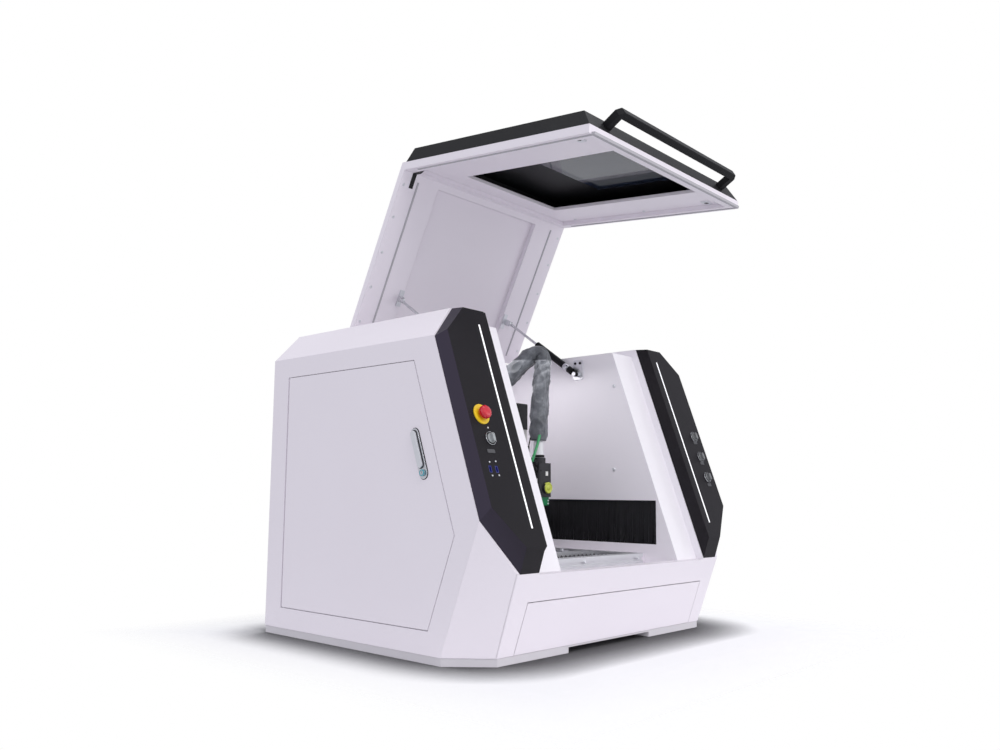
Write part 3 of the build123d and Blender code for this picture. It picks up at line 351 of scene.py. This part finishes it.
finish = {
    "white_steel": powder_coat("white_powder_coat", (0.825, 0.775, 0.835), (0.865, 0.82, 0.88)),
    "base_steel": powder_coat("plinth_coat", (0.56, 0.54, 0.57), (0.64, 0.62, 0.65)),
    "frame_steel": powder_coat("frame_coat", (0.06, 0.062, 0.07), (0.09, 0.092, 0.10)),
    "black_metal": stoved_coat("black_coat", (0.006, 0.006, 0.007), (0.016, 0.016, 0.018), 0.40, 0.10),
    "pod_plastic": moulded("cover_texture", (0.010, 0.010, 0.011), (0.020, 0.020, 0.022), 0.48, 0.12),
    "glass_tint": tinted_glass(),
    "aluminium_bar": ground_metal("anodised_bar", (0.72, 0.73, 0.75), (0.82, 0.83, 0.85), (8, 300, 300), 0.42),
    "rail_steel": ground_metal("ground_rail", (0.55, 0.56, 0.58), (0.72, 0.73, 0.75), (300, 6, 300), 0.26),
    "slat_steel": ground_metal("cut_blade", (0.10, 0.10, 0.11), (0.34, 0.34, 0.35), (40, 200, 200), 0.42),
    "zinc_steel": ground_metal("zinc_plate", (0.66, 0.67, 0.70), (0.80, 0.81, 0.84), (60, 60, 60), 0.36),
    "chrome": polished_metal("chrome_plate", (0.50, 0.51, 0.54), (0.70, 0.71, 0.74)),
    "brush_nylon": bristle_nylon(),
    "black_plastic": moulded("black_moulding", (0.010, 0.010, 0.011), (0.022, 0.022, 0.024), 0.48, 0.2),
    "black_anodised": ground_metal("black_anodised", (0.016, 0.016, 0.018), (0.045, 0.045, 0.05), (20, 20, 260),
                                   0.42, 0.4),
    "light_diffuser": lit_diffuser(),
    "yellow_plastic": glossy("yellow_disc", (0.86, 0.56, 0.01), (0.93, 0.66, 0.02), 0.35, 0.1),
    "red_plastic": glossy("red_button", (0.55, 0.006, 0.02), (0.72, 0.012, 0.035), 0.18, 0.5),
    "knob_plastic": glossy("knob_grey", (0.13, 0.135, 0.14), (0.22, 0.225, 0.23), 0.3, 0.2),
    "blue_plastic": glossy("socket_blue", (0.015, 0.02, 0.20), (0.03, 0.04, 0.34), 0.3, 0.1),
    "seal_rubber": moulded("seal_rubber", (0.40, 0.39, 0.42), (0.50, 0.49, 0.52), 0.62, 0.5),
    "sleeve_fabric": sleeve_cloth(),
    "white_plastic": glossy("white_cap", (0.72, 0.73, 0.75), (0.86, 0.87, 0.89), 0.3, 0.2),
    "nozzle_green": glossy("nozzle_green", (0.004, 0.15, 0.05), (0.01, 0.26, 0.09), 0.3, 0.2),
    "case_steel": powder_coat("source_case", (0.05, 0.052, 0.06), (0.08, 0.082, 0.09)),
    "duct_steel": ground_metal("galvanised_duct", (0.62, 0.63, 0.66), (0.78, 0.79, 0.81), (30, 30, 30), 0.4),
}
brass = polished_metal("brass", (0.72, 0.50, 0.16), (0.82, 0.62, 0.28), 0.2)
cap_yellow = glossy("cap_yellow", (0.50, 0.56, 0.05), (0.62, 0.68, 0.12), 0.35, 0.1)
hose_green = glossy("hose_green", (0.01, 0.20, 0.06), (0.02, 0.32, 0.10), 0.3, 0.3)
key_teal = glossy("key_teal", (0.02, 0.28, 0.36), (0.05, 0.40, 0.48), 0.25, 0.3)
spot_white = glossy("white_mark", (0.70, 0.70, 0.68), (0.84, 0.84, 0.82), 0.4, 0.1)

tab_metal = ground_metal("tab_metal", (0.07, 0.07, 0.075), (0.16, 0.16, 0.17), (400, 30, 30), 0.42)

# Nodes whose finish isn't the plain one of their slot.
special = {
    "left_pod": pod_moulding("left_pod_texture_and_sheen", -1),
    "right_pod": pod_moulding("right_pod_texture_and_sheen", 1),
    "z_motor": motor_case(0.550),
    "switch_rings": moulded("ring_black", (0.008, 0.008, 0.009), (0.018, 0.018, 0.02), 0.35, 0.35),
    "selector_knob": glossy("selector_grey", (0.30, 0.32, 0.33), (0.42, 0.44, 0.45), 0.28, 0.2),
}
# The inner walls are the same white steel as the outside, given a paler colour: painted light for the inside of
# the cabin.
painted_light_coat = powder_coat("inner_wall_painted_light", (0.92, 0.89, 0.94), (0.95, 0.925, 0.965))
for name in ("left_inner_wall", "right_inner_wall", "cabin_rear_wall"):
    special[name] = painted_light_coat
for name, node in nodes.items():
    node.data.materials.clear()
    node.data.materials.append(special.get(name, finish[slot_of[name]]))


# Mesh building


def piece(name, mesh, material, body, smooth=False):
    """Link a bmesh as a piece that rides on a body."""
    data = bpy.data.meshes.new(name)
    mesh.to_mesh(data)
    mesh.free()
    made = bpy.data.objects.new(name, data)
    bpy.context.scene.collection.objects.link(made)
    data.materials.append(material)
    for polygon in data.polygons:
        polygon.use_smooth = smooth
    if body:
        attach(made, body)
    return made


def frame_at(origin, out, up):
    """Matrix whose z runs along out and whose y leans towards up."""
    z = Vector(out).normalized()
    x = Vector(up).cross(z).normalized()
    y = z.cross(x)
    turned = Matrix((x, y, z)).transposed().to_4x4()
    turned.translation = Vector(origin)
    return turned


def add_skin(mesh, rings):
    """Quads from each ring of vertices to the next."""
    count = len(rings[0])
    for low, high in zip(rings, rings[1:]):
        for i in range(count):
            j = (i + 1) % count
            mesh.faces.new((low[i], low[j], high[j], high[i]))


def add_closed(mesh, rings):
    """Rings that run counter-clockwise about their way, skinned and capped at both ends."""
    add_skin(mesh, rings)
    mesh.faces.new(rings[0][::-1])
    mesh.faces.new(rings[-1])


def circle(mesh, place, radius, height, steps):
    """New vertices round local z."""
    turns = (2 * pi * i / steps for i in range(steps))
    return [mesh.verts.new(place @ Vector((radius * cos(a), radius * sin(a), height))) for a in turns]


def add_ring(mesh, place, section, steps):
    """Closed ring about local z from a closed (radius, height) section, counter-clockwise."""
    rings = [circle(mesh, place, radius, height, steps) for radius, height in section]
    add_skin(mesh, rings + rings[:1])


def add_turned(mesh, place, profile, steps):
    """Body of revolution about local z from (radius, height) points, where a last radius of 0 is a point."""
    pointed = profile[-1][0] == 0
    rings = [circle(mesh, place, radius, height, steps) for radius, height in profile if radius]
    tip = mesh.verts.new(place @ Vector((0, 0, profile[-1][1]))) if pointed else None
    add_skin(mesh, rings)
    mesh.faces.new(rings[0][::-1])
    if pointed:
        for i in range(steps):
            mesh.faces.new((rings[-1][i], rings[-1][(i + 1) % steps], tip))
    else:
        mesh.faces.new(rings[-1])


def add_plate(mesh, place, width, height, thick, chamfer, corner=0.0):
    """Flat plate on local z = 0 with a chamfered front edge and square or round corners."""

    def outline(inset):
        w, h, c = width / 2 - inset, height / 2 - inset, corner
        if c == 0:
            return [(-w, -h), (w, -h), (w, h), (-w, h)]
        points = []
        corners = (w - c, h - c, 0), (c - w, h - c, 90), (c - w, c - h, 180), (w - c, c - h, 270)
        for cx, cy, start in corners:
            turns = [radians(start + a) for a in (0, 30, 60, 90)]
            points += [(cx + c * cos(a), cy + c * sin(a)) for a in turns]
        return points

    layers = ((0, 0), (0, thick - chamfer), (chamfer, thick))
    rings = [[mesh.verts.new(place @ Vector((x, y, z))) for x, y in outline(inset)] for inset, z in layers]
    add_closed(mesh, rings)


def add_screw(mesh, place, radius, rise):
    """Round-head screw with a hexagon socket; rise is its height over its radius."""
    tall = radius * rise
    profile = [(radius, -0.0006), (radius, tall * 0.45), (radius * 0.86, tall * 0.85), (radius * 0.6, tall),
               (radius * 0.42, tall), (radius * 0.40, tall * 0.3), (0, tall * 0.25)]
    add_turned(mesh, place, profile, 18)


def screws(name, places, radius, body, slot="zinc_steel", rise=0.62):
    """One piece of equal screws."""
    mesh = bmesh.new()
    for place in places:
        add_screw(mesh, place, radius, rise)
    piece(name, mesh, finish[slot], body, True)


def add_tube(mesh, path, radius, steps, shape=None):
    """Skin round a list of points; shape gives a radius factor from (run, angle)."""
    up = Vector((0.3, 1, 0.1)).normalized()
    rings = []
    for k, point in enumerate(path):
        ahead = (path[min(k + 1, len(path) - 1)] - path[max(k - 1, 0)]).normalized()
        side = ahead.cross(up).normalized()
        up = side.cross(ahead).normalized()
        ring = []
        for i in range(steps):
            a = 2 * pi * i / steps
            r = radius * (shape(k / (len(path) - 1), a) if shape else 1)
            ring.append(mesh.verts.new(point + side * (r * cos(a)) + up * (r * sin(a))))
        rings.append(ring)
    add_closed(mesh, rings[::-1])


def smooth_path(points, count):
    """Evenly spread points on the smooth curve that a route's control points guide."""
    curve = bpy.data.curves.new("route", "CURVE")
    curve.dimensions = "3D"
    spline = curve.splines.new("NURBS")
    spline.points.add(len(points) - 1)
    for place, point in zip(spline.points, points):
        place.co = (*point, 1)
    spline.order_u = 3
    spline.use_endpoint_u = True
    spline.resolution_u = max(8, count // len(points) + 4)
    holder = bpy.data.objects.new("route", curve)
    line = bpy.data.meshes.new_from_object(holder)
    run = [v.co.copy() for v in line.vertices]
    bpy.data.objects.remove(holder)
    lengths = [0.0]
    for a, b in zip(run, run[1:]):
        lengths.append(lengths[-1] + (b - a).length)
    spread = []
    k = 0
    for i in range(count):
        want = lengths[-1] * i / (count - 1)
        while k < len(run) - 2 and lengths[k + 1] < want:
            k += 1
        span = max(lengths[k + 1] - lengths[k], 1e-9)
        spread.append(run[k].lerp(run[k + 1], min(1, (want - lengths[k]) / span)))
    return spread


def on_slope(x, z, out):
    """Point at a height on a plane parallel to the slope and out from it."""
    base = brow + slope_out * out
    along = (z - base.z) / slope_up.z
    return base + slope_up * along + Vector((x, 0, 0))


def pod_place(x, z):
    """Place on the face of a pod, from x and the height above the plinth."""
    return frame_at(on_slope(x, z + plinth_top, pod_face), slope_out, slope_up)


def on_lid(x, down, out):
    """Point on the open lid from (x, distance down the front panel from the brow, out of it)."""
    return swing(brow + slope_out * out - slope_up * down + Vector((x, 0, 0)))


def swing(point):
    """Place of a point of the shut lid once the lid is open."""
    y, z = point[1] - hinge.y, point[2] - hinge.z
    return Vector((point[0], hinge.y + y * cos(lid_angle) + z * sin(lid_angle),
                   hinge.z - y * sin(lid_angle) + z * cos(lid_angle)))


def way(start, end):
    """Direction from one point to another."""
    return (end - start).normalized()


# Camera


def photo_camera():
    """Camera at the photograph's place, turned from +Y by yaw, raised by pitch and tilted by roll."""
    data = bpy.data.cameras.new("photo_camera")
    data.sensor_width = 36
    data.lens = 0.87955 * data.sensor_width
    data.shift_x, data.shift_y = 0.00648, 0.01778
    data.clip_end = 60
    camera = bpy.data.objects.new("photo_camera", data)
    bpy.context.scene.collection.objects.link(camera)
    yaw, pitch, roll = radians(47.24), radians(6.60), radians(0.56)
    ahead = Vector((sin(yaw) * cos(pitch), cos(yaw) * cos(pitch), sin(pitch)))
    side = Vector((cos(yaw), -sin(yaw), 0))
    top = side.cross(ahead)
    right = side * cos(roll) + top * sin(roll)
    above = top * cos(roll) - side * sin(roll)
    turned = Matrix((right, above, -ahead)).transposed().to_4x4()
    camera.matrix_world = Matrix.Translation((-1.83869, -1.56936, 0.36515)) @ turned
    bpy.context.scene.camera = camera


photo_camera()


# Controls on the pods


def control_pieces():
    """Label tabs, socket screws, rims of the selector and switches, and the selector's mark."""
    mesh = bmesh.new()
    tabs = (-0.450, 0.440, 0.024), (0.451, 0.503, 0.020), (0.451, 0.443, 0.020), (0.451, 0.381, 0.020)
    for x, z, width in tabs:
        add_plate(mesh, pod_place(x, z), width, 0.009, 0.0012, 0.0004, 0.002)
    piece("control_tabs", mesh, tab_metal, "frame")
    spots = ((-0.464, 0.416), (-0.444, 0.418), (-0.465, 0.387), (-0.444, 0.388))
    screws("socket_screws", [pod_place(x, z) for x, z in spots], 0.0022, "frame")
    mesh = bmesh.new()
    rim = 0.0150
    rims = (-0.442, 0.468, 0.00055), (0.452, 0.520, 0.00035), (0.452, 0.461, 0.00035), (0.452, 0.402, 0.00035)
    for x, z, thick in rims:
        section = [(rim, 0.0), (rim + thick, 0.0), (rim + thick, 0.0024), (rim, 0.0030),
                   (rim - thick, 0.0024), (rim - thick, 0.0)]
        add_ring(mesh, pod_place(x, z), section, 40)
    piece("ring_rims", mesh, finish["chrome"], "frame", True)
    mesh = bmesh.new()
    dot = [(0.0022, 0), (0.0022, 0.0006), (0.0016, 0.0010), (0, 0.0010)]
    add_turned(mesh, pod_place(-0.441, 0.492), dot, 16)
    piece("selector_mark", mesh, spot_white, "frame", True)


control_pieces()


# Brushes in the wall slots


def brush(side_name, hand):
    """Two staggered rows of bristle tufts hung in a wall slot, parted at the beam."""
    rng = Random(11 if hand < 0 else 12)
    low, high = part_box("slot_brushes")
    gap_front, gap_rear = 0.148, 0.232
    pitch, row_shift, margin, thick = 0.0021, 0.0011, 0.002, 0.0008
    slot_x = wall_x + 0.0022
    mesh = bmesh.new()
    for row, depth in enumerate((0.0032, 0.0056)):
        y = low.y + margin + row * row_shift
        while y < high.y - margin:
            if not gap_front - 0.001 < y < gap_rear + 0.001:
                x = hand * (slot_x + depth)
                lean = rng.uniform(-0.0012, 0.0012)
                tip = low.z + rng.uniform(0.0005, 0.0055)
                half = rng.uniform(0.00062, 0.00085)
                rings = []
                for z, shift, w in ((tip, lean, half * 0.7), ((tip + high.z) / 2, lean * 0.3, half),
                                    (high.z - 0.001, 0, half)):
                    rings.append([mesh.verts.new((x + dx, y + shift + dy, z)) for dx, dy in
                                  ((-thick, -w), (thick, -w), (thick, w), (-thick, w))])
                add_closed(mesh, rings)
            y += pitch + rng.uniform(-0.0002, 0.0002)
    for front, rear in ((low.y, gap_front), (gap_rear, high.y)):
        holder = Vector((hand * (wall_x + 0.0029), (front + rear) / 2, high.z - 0.0035))
        add_plate(mesh, frame_at(holder, (hand, 0, 0), upward), rear - front, 0.0068, 0.0070, 0.0008)
    return piece(side_name + "_slot_brush", mesh, finish["brush_nylon"], "frame")


for side_name, hand in sides:
    strip = brush(side_name, hand)
    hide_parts("slot_brushes")


# Fabric sleeve over the head


sleeve_route = [(0.050, 0.0045, 0.516), (0.053, 0.0045, 0.626), (0.074, 0.000, 0.800),
                (-0.012, 0.0845, 0.680), (-0.060, 0.130, 0.589), (-0.060, 0.130, 0.504)]


def sleeve_folds(run, angle):
    """Radius factor of the sleeve: slanting folds, pleats where it bends over, and gathered ends."""
    swirl = noise.noise(Vector((cos(angle) * 0.9, sin(angle) * 0.9, run * 7)) + Vector((3, 1, 7)))
    fine = noise.noise(Vector((cos(angle) * 3.4, sin(angle) * 3.4, run * 24)))
    folds = 1 - abs(sin(1.5 * angle + 5.5 * swirl + run * 16))
    pleat = abs(sin(run * 88 + 1.6 * sin(angle + 1) + 2.6 * swirl)) ** 0.5
    bend = max(0.0, 1 - abs(run - 0.36) / 0.16)
    ends = min(1, run / 0.04, (1 - run) / 0.05)
    fold = 0.12 * swirl + 0.05 * fine + 0.15 * folds ** 2.2 - 0.17 * (1 - pleat) * (0.12 + 0.88 * bend)
    flat = 0.11 * cos(2 * angle + 5 * run) + 0.06 * bend
    return 0.90 + ends * (fold + flat) - 0.08 * (1 - ends)


def sleeve():
    """Sleeve from the carriage's arm over the head, baked in place and riding on no body."""
    mesh = bmesh.new()
    add_tube(mesh, smooth_path(sleeve_route, 190), 0.0262, 72, sleeve_folds)
    made = piece("cable_sleeve", mesh, finish["sleeve_fabric"], None, True)
    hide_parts("head_cables")
    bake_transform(made)


sleeve()


# Hose, wire and small parts of the cutting head


def head_place(x, y, z, out=frontward, up=upward):
    """Place from its distances to the head's middle line, and its height."""
    return frame_at((head_x + x, head_y + y, z), out, up)


def head_line(name, points, radius, steps, material):
    """Thin hose or wire that bends from the sleeve's mouth to the head."""
    route = [(head_x + x, head_y + y, z) for x, y, z in points]
    mesh = bmesh.new()
    add_tube(mesh, smooth_path(route, 24), radius, steps)
    piece(name, mesh, material, "head", True)


def head_pieces():
    """Hose, wire and fittings on the head's left, cap, mark and screws on its front, ring above."""
    front, left = -head_half - 0.0002, -head_half
    leftward = (-1, 0, 0)
    hose = (-0.014, -0.016, 0.530), (-0.024, -0.018, 0.505), (-0.040, -0.018, 0.474), (-0.046, -0.016, 0.455)
    head_line("gas_hose", hose, 0.0040, 16, hose_green)
    wire = (-0.020, 0.012, 0.524), (-0.038, 0.006, 0.490), (-0.056, -0.004, 0.462), (-0.046, -0.004, 0.446)
    head_line("sensor_wire", wire, 0.0016, 10, finish["black_plastic"])
    mesh = bmesh.new()
    for z, r in ((0.452, 0.0068), (0.436, 0.0056)):
        elbow = [(r * 0.8, -0.006), (r, -0.004), (r, 0.003), (r * 0.7, 0.006), (0, 0.006)]
        add_turned(mesh, head_place(left - 0.0056, -0.016, z, (-0.4, 0, 1), (0, 1, 0)), elbow, 6)
    piece("hose_elbows", mesh, finish["black_plastic"], "head")
    mesh = bmesh.new()
    fitting = [(0.0045, 0), (0.0045, 0.0045), (0.0034, 0.0085), (0, 0.0085)]
    for z in (0.437, 0.425):
        add_turned(mesh, head_place(left - 0.0003, -0.004, z, leftward), fitting, 6)
    piece("head_fittings", mesh, brass, "head")
    mesh = bmesh.new()
    add_plate(mesh, head_place(left - 0.0004, -0.004, 0.387, leftward), 0.030, 0.046, 0.0098, 0.0015)
    piece("blade_block", mesh, spot_white, "head")
    mesh = bmesh.new()
    cap = [(0.0155, 0), (0.0155, 0.0060), (0.0143, 0.0075), (0.0118, 0.0075), (0.0108, 0.0056),
           (0.0066, 0.0056), (0.0058, 0.0078), (0, 0.0078)]
    add_turned(mesh, head_place(0.006, front, 0.385), cap, 40)
    piece("sight_cap", mesh, cap_yellow, "head", True)
    mesh = bmesh.new()
    add_plate(mesh, head_place(0.005, front + 0.0004, 0.424), 0.010, 0.012, 0.0012, 0.0003)
    piece("head_mark", mesh, spot_white, "head")
    mesh = bmesh.new()
    add_ring(mesh, head_place(0, 0, 0.462, upward, (0, 1, 0)),
             [(0.0141, 0.007), (0.0170, 0.0075), (0.0170, 0.013), (0.0150, 0.014), (0.0141, 0.014)], 40)
    piece("collimator_ring", mesh, finish["black_plastic"], "head", True)
    spots = [head_place(x, -0.0202, z) for z in (0.350, 0.342) for x in (-0.018, 0.018)]
    screws("nozzle_screws", spots, 0.0026, "head")
    spots = [head_place(x, -head_half, z) for z in (0.432, 0.372) for x in (-0.020, 0.020)]
    screws("body_screws", spots, 0.0020, "head", "black_metal")


head_pieces()


# Screws on the walls, the table and the lid


def wall_screws():
    """Screws of the inner walls, of the strut brackets on them and of the table's front bar."""
    panel, bracket = [], []
    for _, hand in sides:
        inward = (-hand, 0, 0)
        for y, z in ((-0.112, 0.680), (-0.110, 0.440), (0.330, 0.680), (0.330, 0.440)):
            panel.append(frame_at((hand * wall_x, y, z), inward, upward))
        for y in (0.008, 0.026):
            bracket.append(frame_at((hand * (wall_x - 0.0035), y, 0.758), inward, upward))
    screws("wall_screws", panel, 0.0052, "frame")
    screws("bracket_screws", bracket, 0.0042, "frame", "black_metal")
    table = [frame_at((x, -0.240, 0.2015), frontward, upward) for x in (-0.062, 0.172)]
    screws("table_screws", table, 0.0045, "frame")


def lid_screws():
    """Screws under the roof's flanges and round the window."""
    down = way(swing((0, 0.1, 0.780)), swing((0, 0.1, 0.760)))
    places = [frame_at(swing((hand * 0.331, y, 0.780)), down, across)
              for _, hand in sides for y in (-0.07, 0.02, 0.12, 0.22, 0.32)]
    screws("roof_screws", places, 0.0042, "lid", "zinc_steel", 0.28)
    places = [frame_at(on_lid(hand * x, run, -0.006), lid_inward, across)
              for x, run in ((0.30, 0.09), (0.30, 0.345), (0.1, 0.615)) for _, hand in sides]
    screws("frame_screws", places, 0.0042, "lid")


lid_inward = way(on_lid(0, 0, 0), on_lid(0, 0, -1))
lid_along = way(on_lid(0, 1, 0), on_lid(0, 0, 0))
wall_screws()
lid_screws()


# Lip of the left pod, strap and keepers of the lid, strut collars, locks of the doors


def pod_edge():
    """Return lip of the left pod, down its inner side to the seat of the lid."""
    mesh = bmesh.new()
    ends = []
    for x in (-0.3519, -0.3452):
        corners = ((0.797, -0.0202), (0.782, 0.0350), (0.244, 0.0350), (0.205, -0.0202))
        ends.append([mesh.verts.new(on_slope(x, z, 0) + slope_out * out) for z, out in corners])
    add_closed(mesh, ends)
    bmesh.ops.recalc_face_normals(mesh, faces=mesh.faces)
    piece("pod_edge_lip", mesh, special["left_pod"], "frame")


def corner_strap():
    """Thin strap across the folded corner, from the roof's seat down the front panel."""
    seat = ((-0.066, 0.7795), (-0.100, 0.7795), (-0.1072, 0.7790))
    panel = ((0.016, -0.0188), (0.030, -0.0188), (0.042, -0.0120), (0.060, -0.0073), (0.090, -0.0070))
    line = [swing((0, y, z)) for y, z in seat] + [on_lid(0, down, out) for down, out in panel]
    thick = 0.0005
    mesh = bmesh.new()
    rings = []
    for k, point in enumerate(line):
        ahead = way(line[max(k - 1, 0)], line[min(k + 1, len(line) - 1)])
        proud = Vector(across).cross(ahead) * thick
        rings.append([mesh.verts.new(point + Vector((x, 0, 0)) + proud * face)
                      for x, face in ((-0.312, -1), (-0.299, -1), (-0.299, 1), (-0.312, 1))])
    add_closed(mesh, rings)
    bmesh.ops.recalc_face_normals(mesh, faces=mesh.faces)
    piece("corner_strap", mesh, finish["black_plastic"], "lid")


def keepers():
    """Keeper plate at each lower corner of the lid, with a black disc on it as painted shade for its hole, and
    two screws.
    """
    keeper_x, keeper_down = 0.291, 0.556
    plates, hole_shades, spots = bmesh.new(), bmesh.new(), []
    for _, hand in sides:
        place = frame_at(on_lid(hand * keeper_x, keeper_down, -0.0062), lid_inward, lid_along)
        add_plate(plates, place, 0.034, 0.022, 0.0018, 0.0004, 0.003)
        # Black disc over the hole's place: painted shade inside the hole.
        add_turned(hole_shades, place, [(0.0058, 0), (0.0058, 0.0021), (0, 0.0021)], 24)
        spots += [frame_at(on_lid(hand * keeper_x + dx, keeper_down, -0.0079), lid_inward, lid_along)
                  for dx in (-0.012, 0.012)]
    piece("keeper_plates", plates, finish["zinc_steel"], "lid")
    piece("keeper_hole_shades", hole_shades, finish["black_plastic"], "lid", True)
    screws("keeper_screws", spots, 0.0022, "lid")


def strut_collar(side_name, hand):
    """Bright sleeve near the foot of a strut's tube."""
    foot = Vector((hand * strut_x, 0.016, 0.724))
    run = way(foot, swing((hand * strut_x, 0.233, 0.7615)))
    mesh = bmesh.new()
    add_turned(mesh, frame_at(foot + run * 0.030, run, across),
               [(0.0100, 0), (0.0104, 0.0004), (0.0104, 0.0186), (0.0100, 0.0190)], 32)
    piece(side_name + "_strut_collar", mesh, finish["chrome"], side_name + "_strut", True)


def lock_pieces(side_name, hand):
    """Thin black sheets a little larger than a lock's plate and lever, a painted shadow round their edges, and
    the ring round its key.
    """
    low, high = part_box(side_name + "_lock_plate")
    plate_x = hand * max(abs(low.x), abs(high.x))
    outward = (hand, 0, 0)
    # Black sheets that stick out round the plate and the lever: painted shadow at their edges.
    shadow_sheets = bmesh.new()
    middle = Vector((hand * door_x, lock_y, lock_z))
    add_plate(shadow_sheets, frame_at(middle, outward, slope_up), 0.0295, 0.1235, 0.0005, 0.0002, 0.0147)
    grip = middle + slope_up * 0.010 + Vector((hand * 0.0030, 0, 0))
    add_plate(shadow_sheets, frame_at(grip, outward, slope_up), 0.0205, 0.0925, 0.00022, 0.0001, 0.0102)
    piece(side_name + "_lock_bed", shadow_sheets, finish["black_plastic"], side_name + "_side_door")
    ring = bmesh.new()
    key = Vector((plate_x, lock_y, lock_z)) - slope_up * 0.046
    add_ring(ring, frame_at(key, outward, slope_up),
             [(0.0052, -0.001), (0.0076, -0.003), (0.0076, -0.0002), (0.0068, 0.0004), (0.0052, 0.0004)], 36)
    piece(side_name + "_key_ring", ring, key_teal, side_name + "_side_door", True)


pod_edge()
corner_strap()
keepers()
for side_name, hand in sides:
    strut_collar(side_name, hand)
for side_name, hand in sides:
    lock_pieces(side_name, hand)


# Floor, world and lamps


def studio_floor():
    """Pale disc, clear away from the machine. For the camera it is darkened where the machine stands near, a
    painted contact shadow.
    """
    look = Look("studio_floor")
    x, y, _ = look.axes()
    half_width, half_depth, fade_start, fade_run = 0.50, 0.47, 0.05, 0.30
    away = (x.absolute() - half_width).above(y.absolute() - half_depth).above(0.0)
    far = ((away - fade_start) / fade_run).clamp()
    # Ambient occlusion darkens the floor for camera rays only: a painted shadow near the machine.
    camera_ray = look.node("ShaderNodeLightPath", {}, {})["Is Camera Ray"]
    occlusion = look.node("ShaderNodeAmbientOcclusion", {"samples": 8}, {"Distance": 0.17})["AO"]
    painted_contact_shadow = (occlusion.power(3.6) - 1) * camera_ray + 1
    shade = look.mix(painted_contact_shadow, (0.05, 0.05, 0.052), (0.96, 0.96, 0.965))
    look.set(Base_Color=look.mix(look.noise(2.0) * 0.03, shade, (0.9, 0.9, 0.9)))
    look.set(Roughness=0.85, Specular_IOR_Level=0.1)
    clear = look.node("ShaderNodeBsdfTransparent", {}, {})["BSDF"]
    solid = Value(look, look.surface.outputs[0])
    blend = look.node("ShaderNodeMixShader", {}, {0: far, 1: solid, 2: clear})
    output = next(n for n in look.tree.nodes if n.type == "OUTPUT_MATERIAL")
    look.tree.links.new(blend[0].socket, output.inputs["Surface"])
    mesh = bmesh.new()
    bmesh.ops.create_circle(mesh, cap_ends=True, radius=4.0, segments=96)
    floor = piece("studio_floor", mesh, look.material, None)


def studio_world():
    """Even pale light, seen as plain white behind the machine and through its glass."""
    world = bpy.data.worlds.new("studio")
    bpy.context.scene.world = world
    world.use_nodes = True
    tree = world.node_tree
    background = next(n for n in tree.nodes if n.type == "BACKGROUND")
    output = next(n for n in tree.nodes if n.type == "OUTPUT_WORLD")
    background.inputs["Color"].default_value = (0.93, 0.94, 1.0, 1)
    background.inputs["Strength"].default_value = 0.73
    white = tree.nodes.new("ShaderNodeBackground")
    white.inputs["Color"].default_value = (1, 1, 1, 1)
    white.inputs["Strength"].default_value = 1.0
    path = tree.nodes.new("ShaderNodeLightPath")
    seen = tree.nodes.new("ShaderNodeMath")
    seen.operation = "MAXIMUM"
    tree.links.new(path.outputs["Is Camera Ray"], seen.inputs[0])
    tree.links.new(path.outputs["Is Transmission Ray"], seen.inputs[1])
    mixed = tree.nodes.new("ShaderNodeMixShader")
    tree.links.new(seen.outputs[0], mixed.inputs[0])
    tree.links.new(background.outputs[0], mixed.inputs[1])
    tree.links.new(white.outputs[0], mixed.inputs[2])
    tree.links.new(mixed.outputs[0], output.inputs["Surface"])


def lamp(name, place, target, size, power, color):
    """Square or oblong lamp at a place, aimed at a target, in watts."""
    data = bpy.data.lights.new(name, "AREA")
    data.shape = "RECTANGLE"
    data.size, data.size_y = size
    data.energy = power
    data.color = color
    made = bpy.data.objects.new(name, data)
    bpy.context.scene.collection.objects.link(made)
    made.matrix_world = frame_at(place, Vector(place) - Vector(target), (0, 0.2, 1))
    made.visible_camera = False


studio_floor()
studio_world()
lamp("key", (-0.5, -3.0, 2.8), (0, 0, 0.5), (2.2, 2.2), 44, (1.0, 0.985, 0.98))
lamp("overhead", (0.3, 0.1, 3.4), (0, 0, 0.4), (2.6, 2.6), 26, (1, 1, 1))
lamp("side_fill", (-3.2, 0.6, 1.4), (0, 0, 0.5), (2.0, 2.0), 5, (0.97, 0.96, 1.0))
lamp("front_fill", (1.8, -2.8, 1.2), (0, 0, 0.5), (2.0, 1.6), 10, (1.0, 0.99, 0.98))
lamp("cabin_light", (0.0, 0.10, 0.742), (0.0, 0.1, 0.2), (0.34, 0.34), 0.7, (1.0, 0.98, 1.0))
bpy.context.scene.view_settings.view_transform = "Standard"
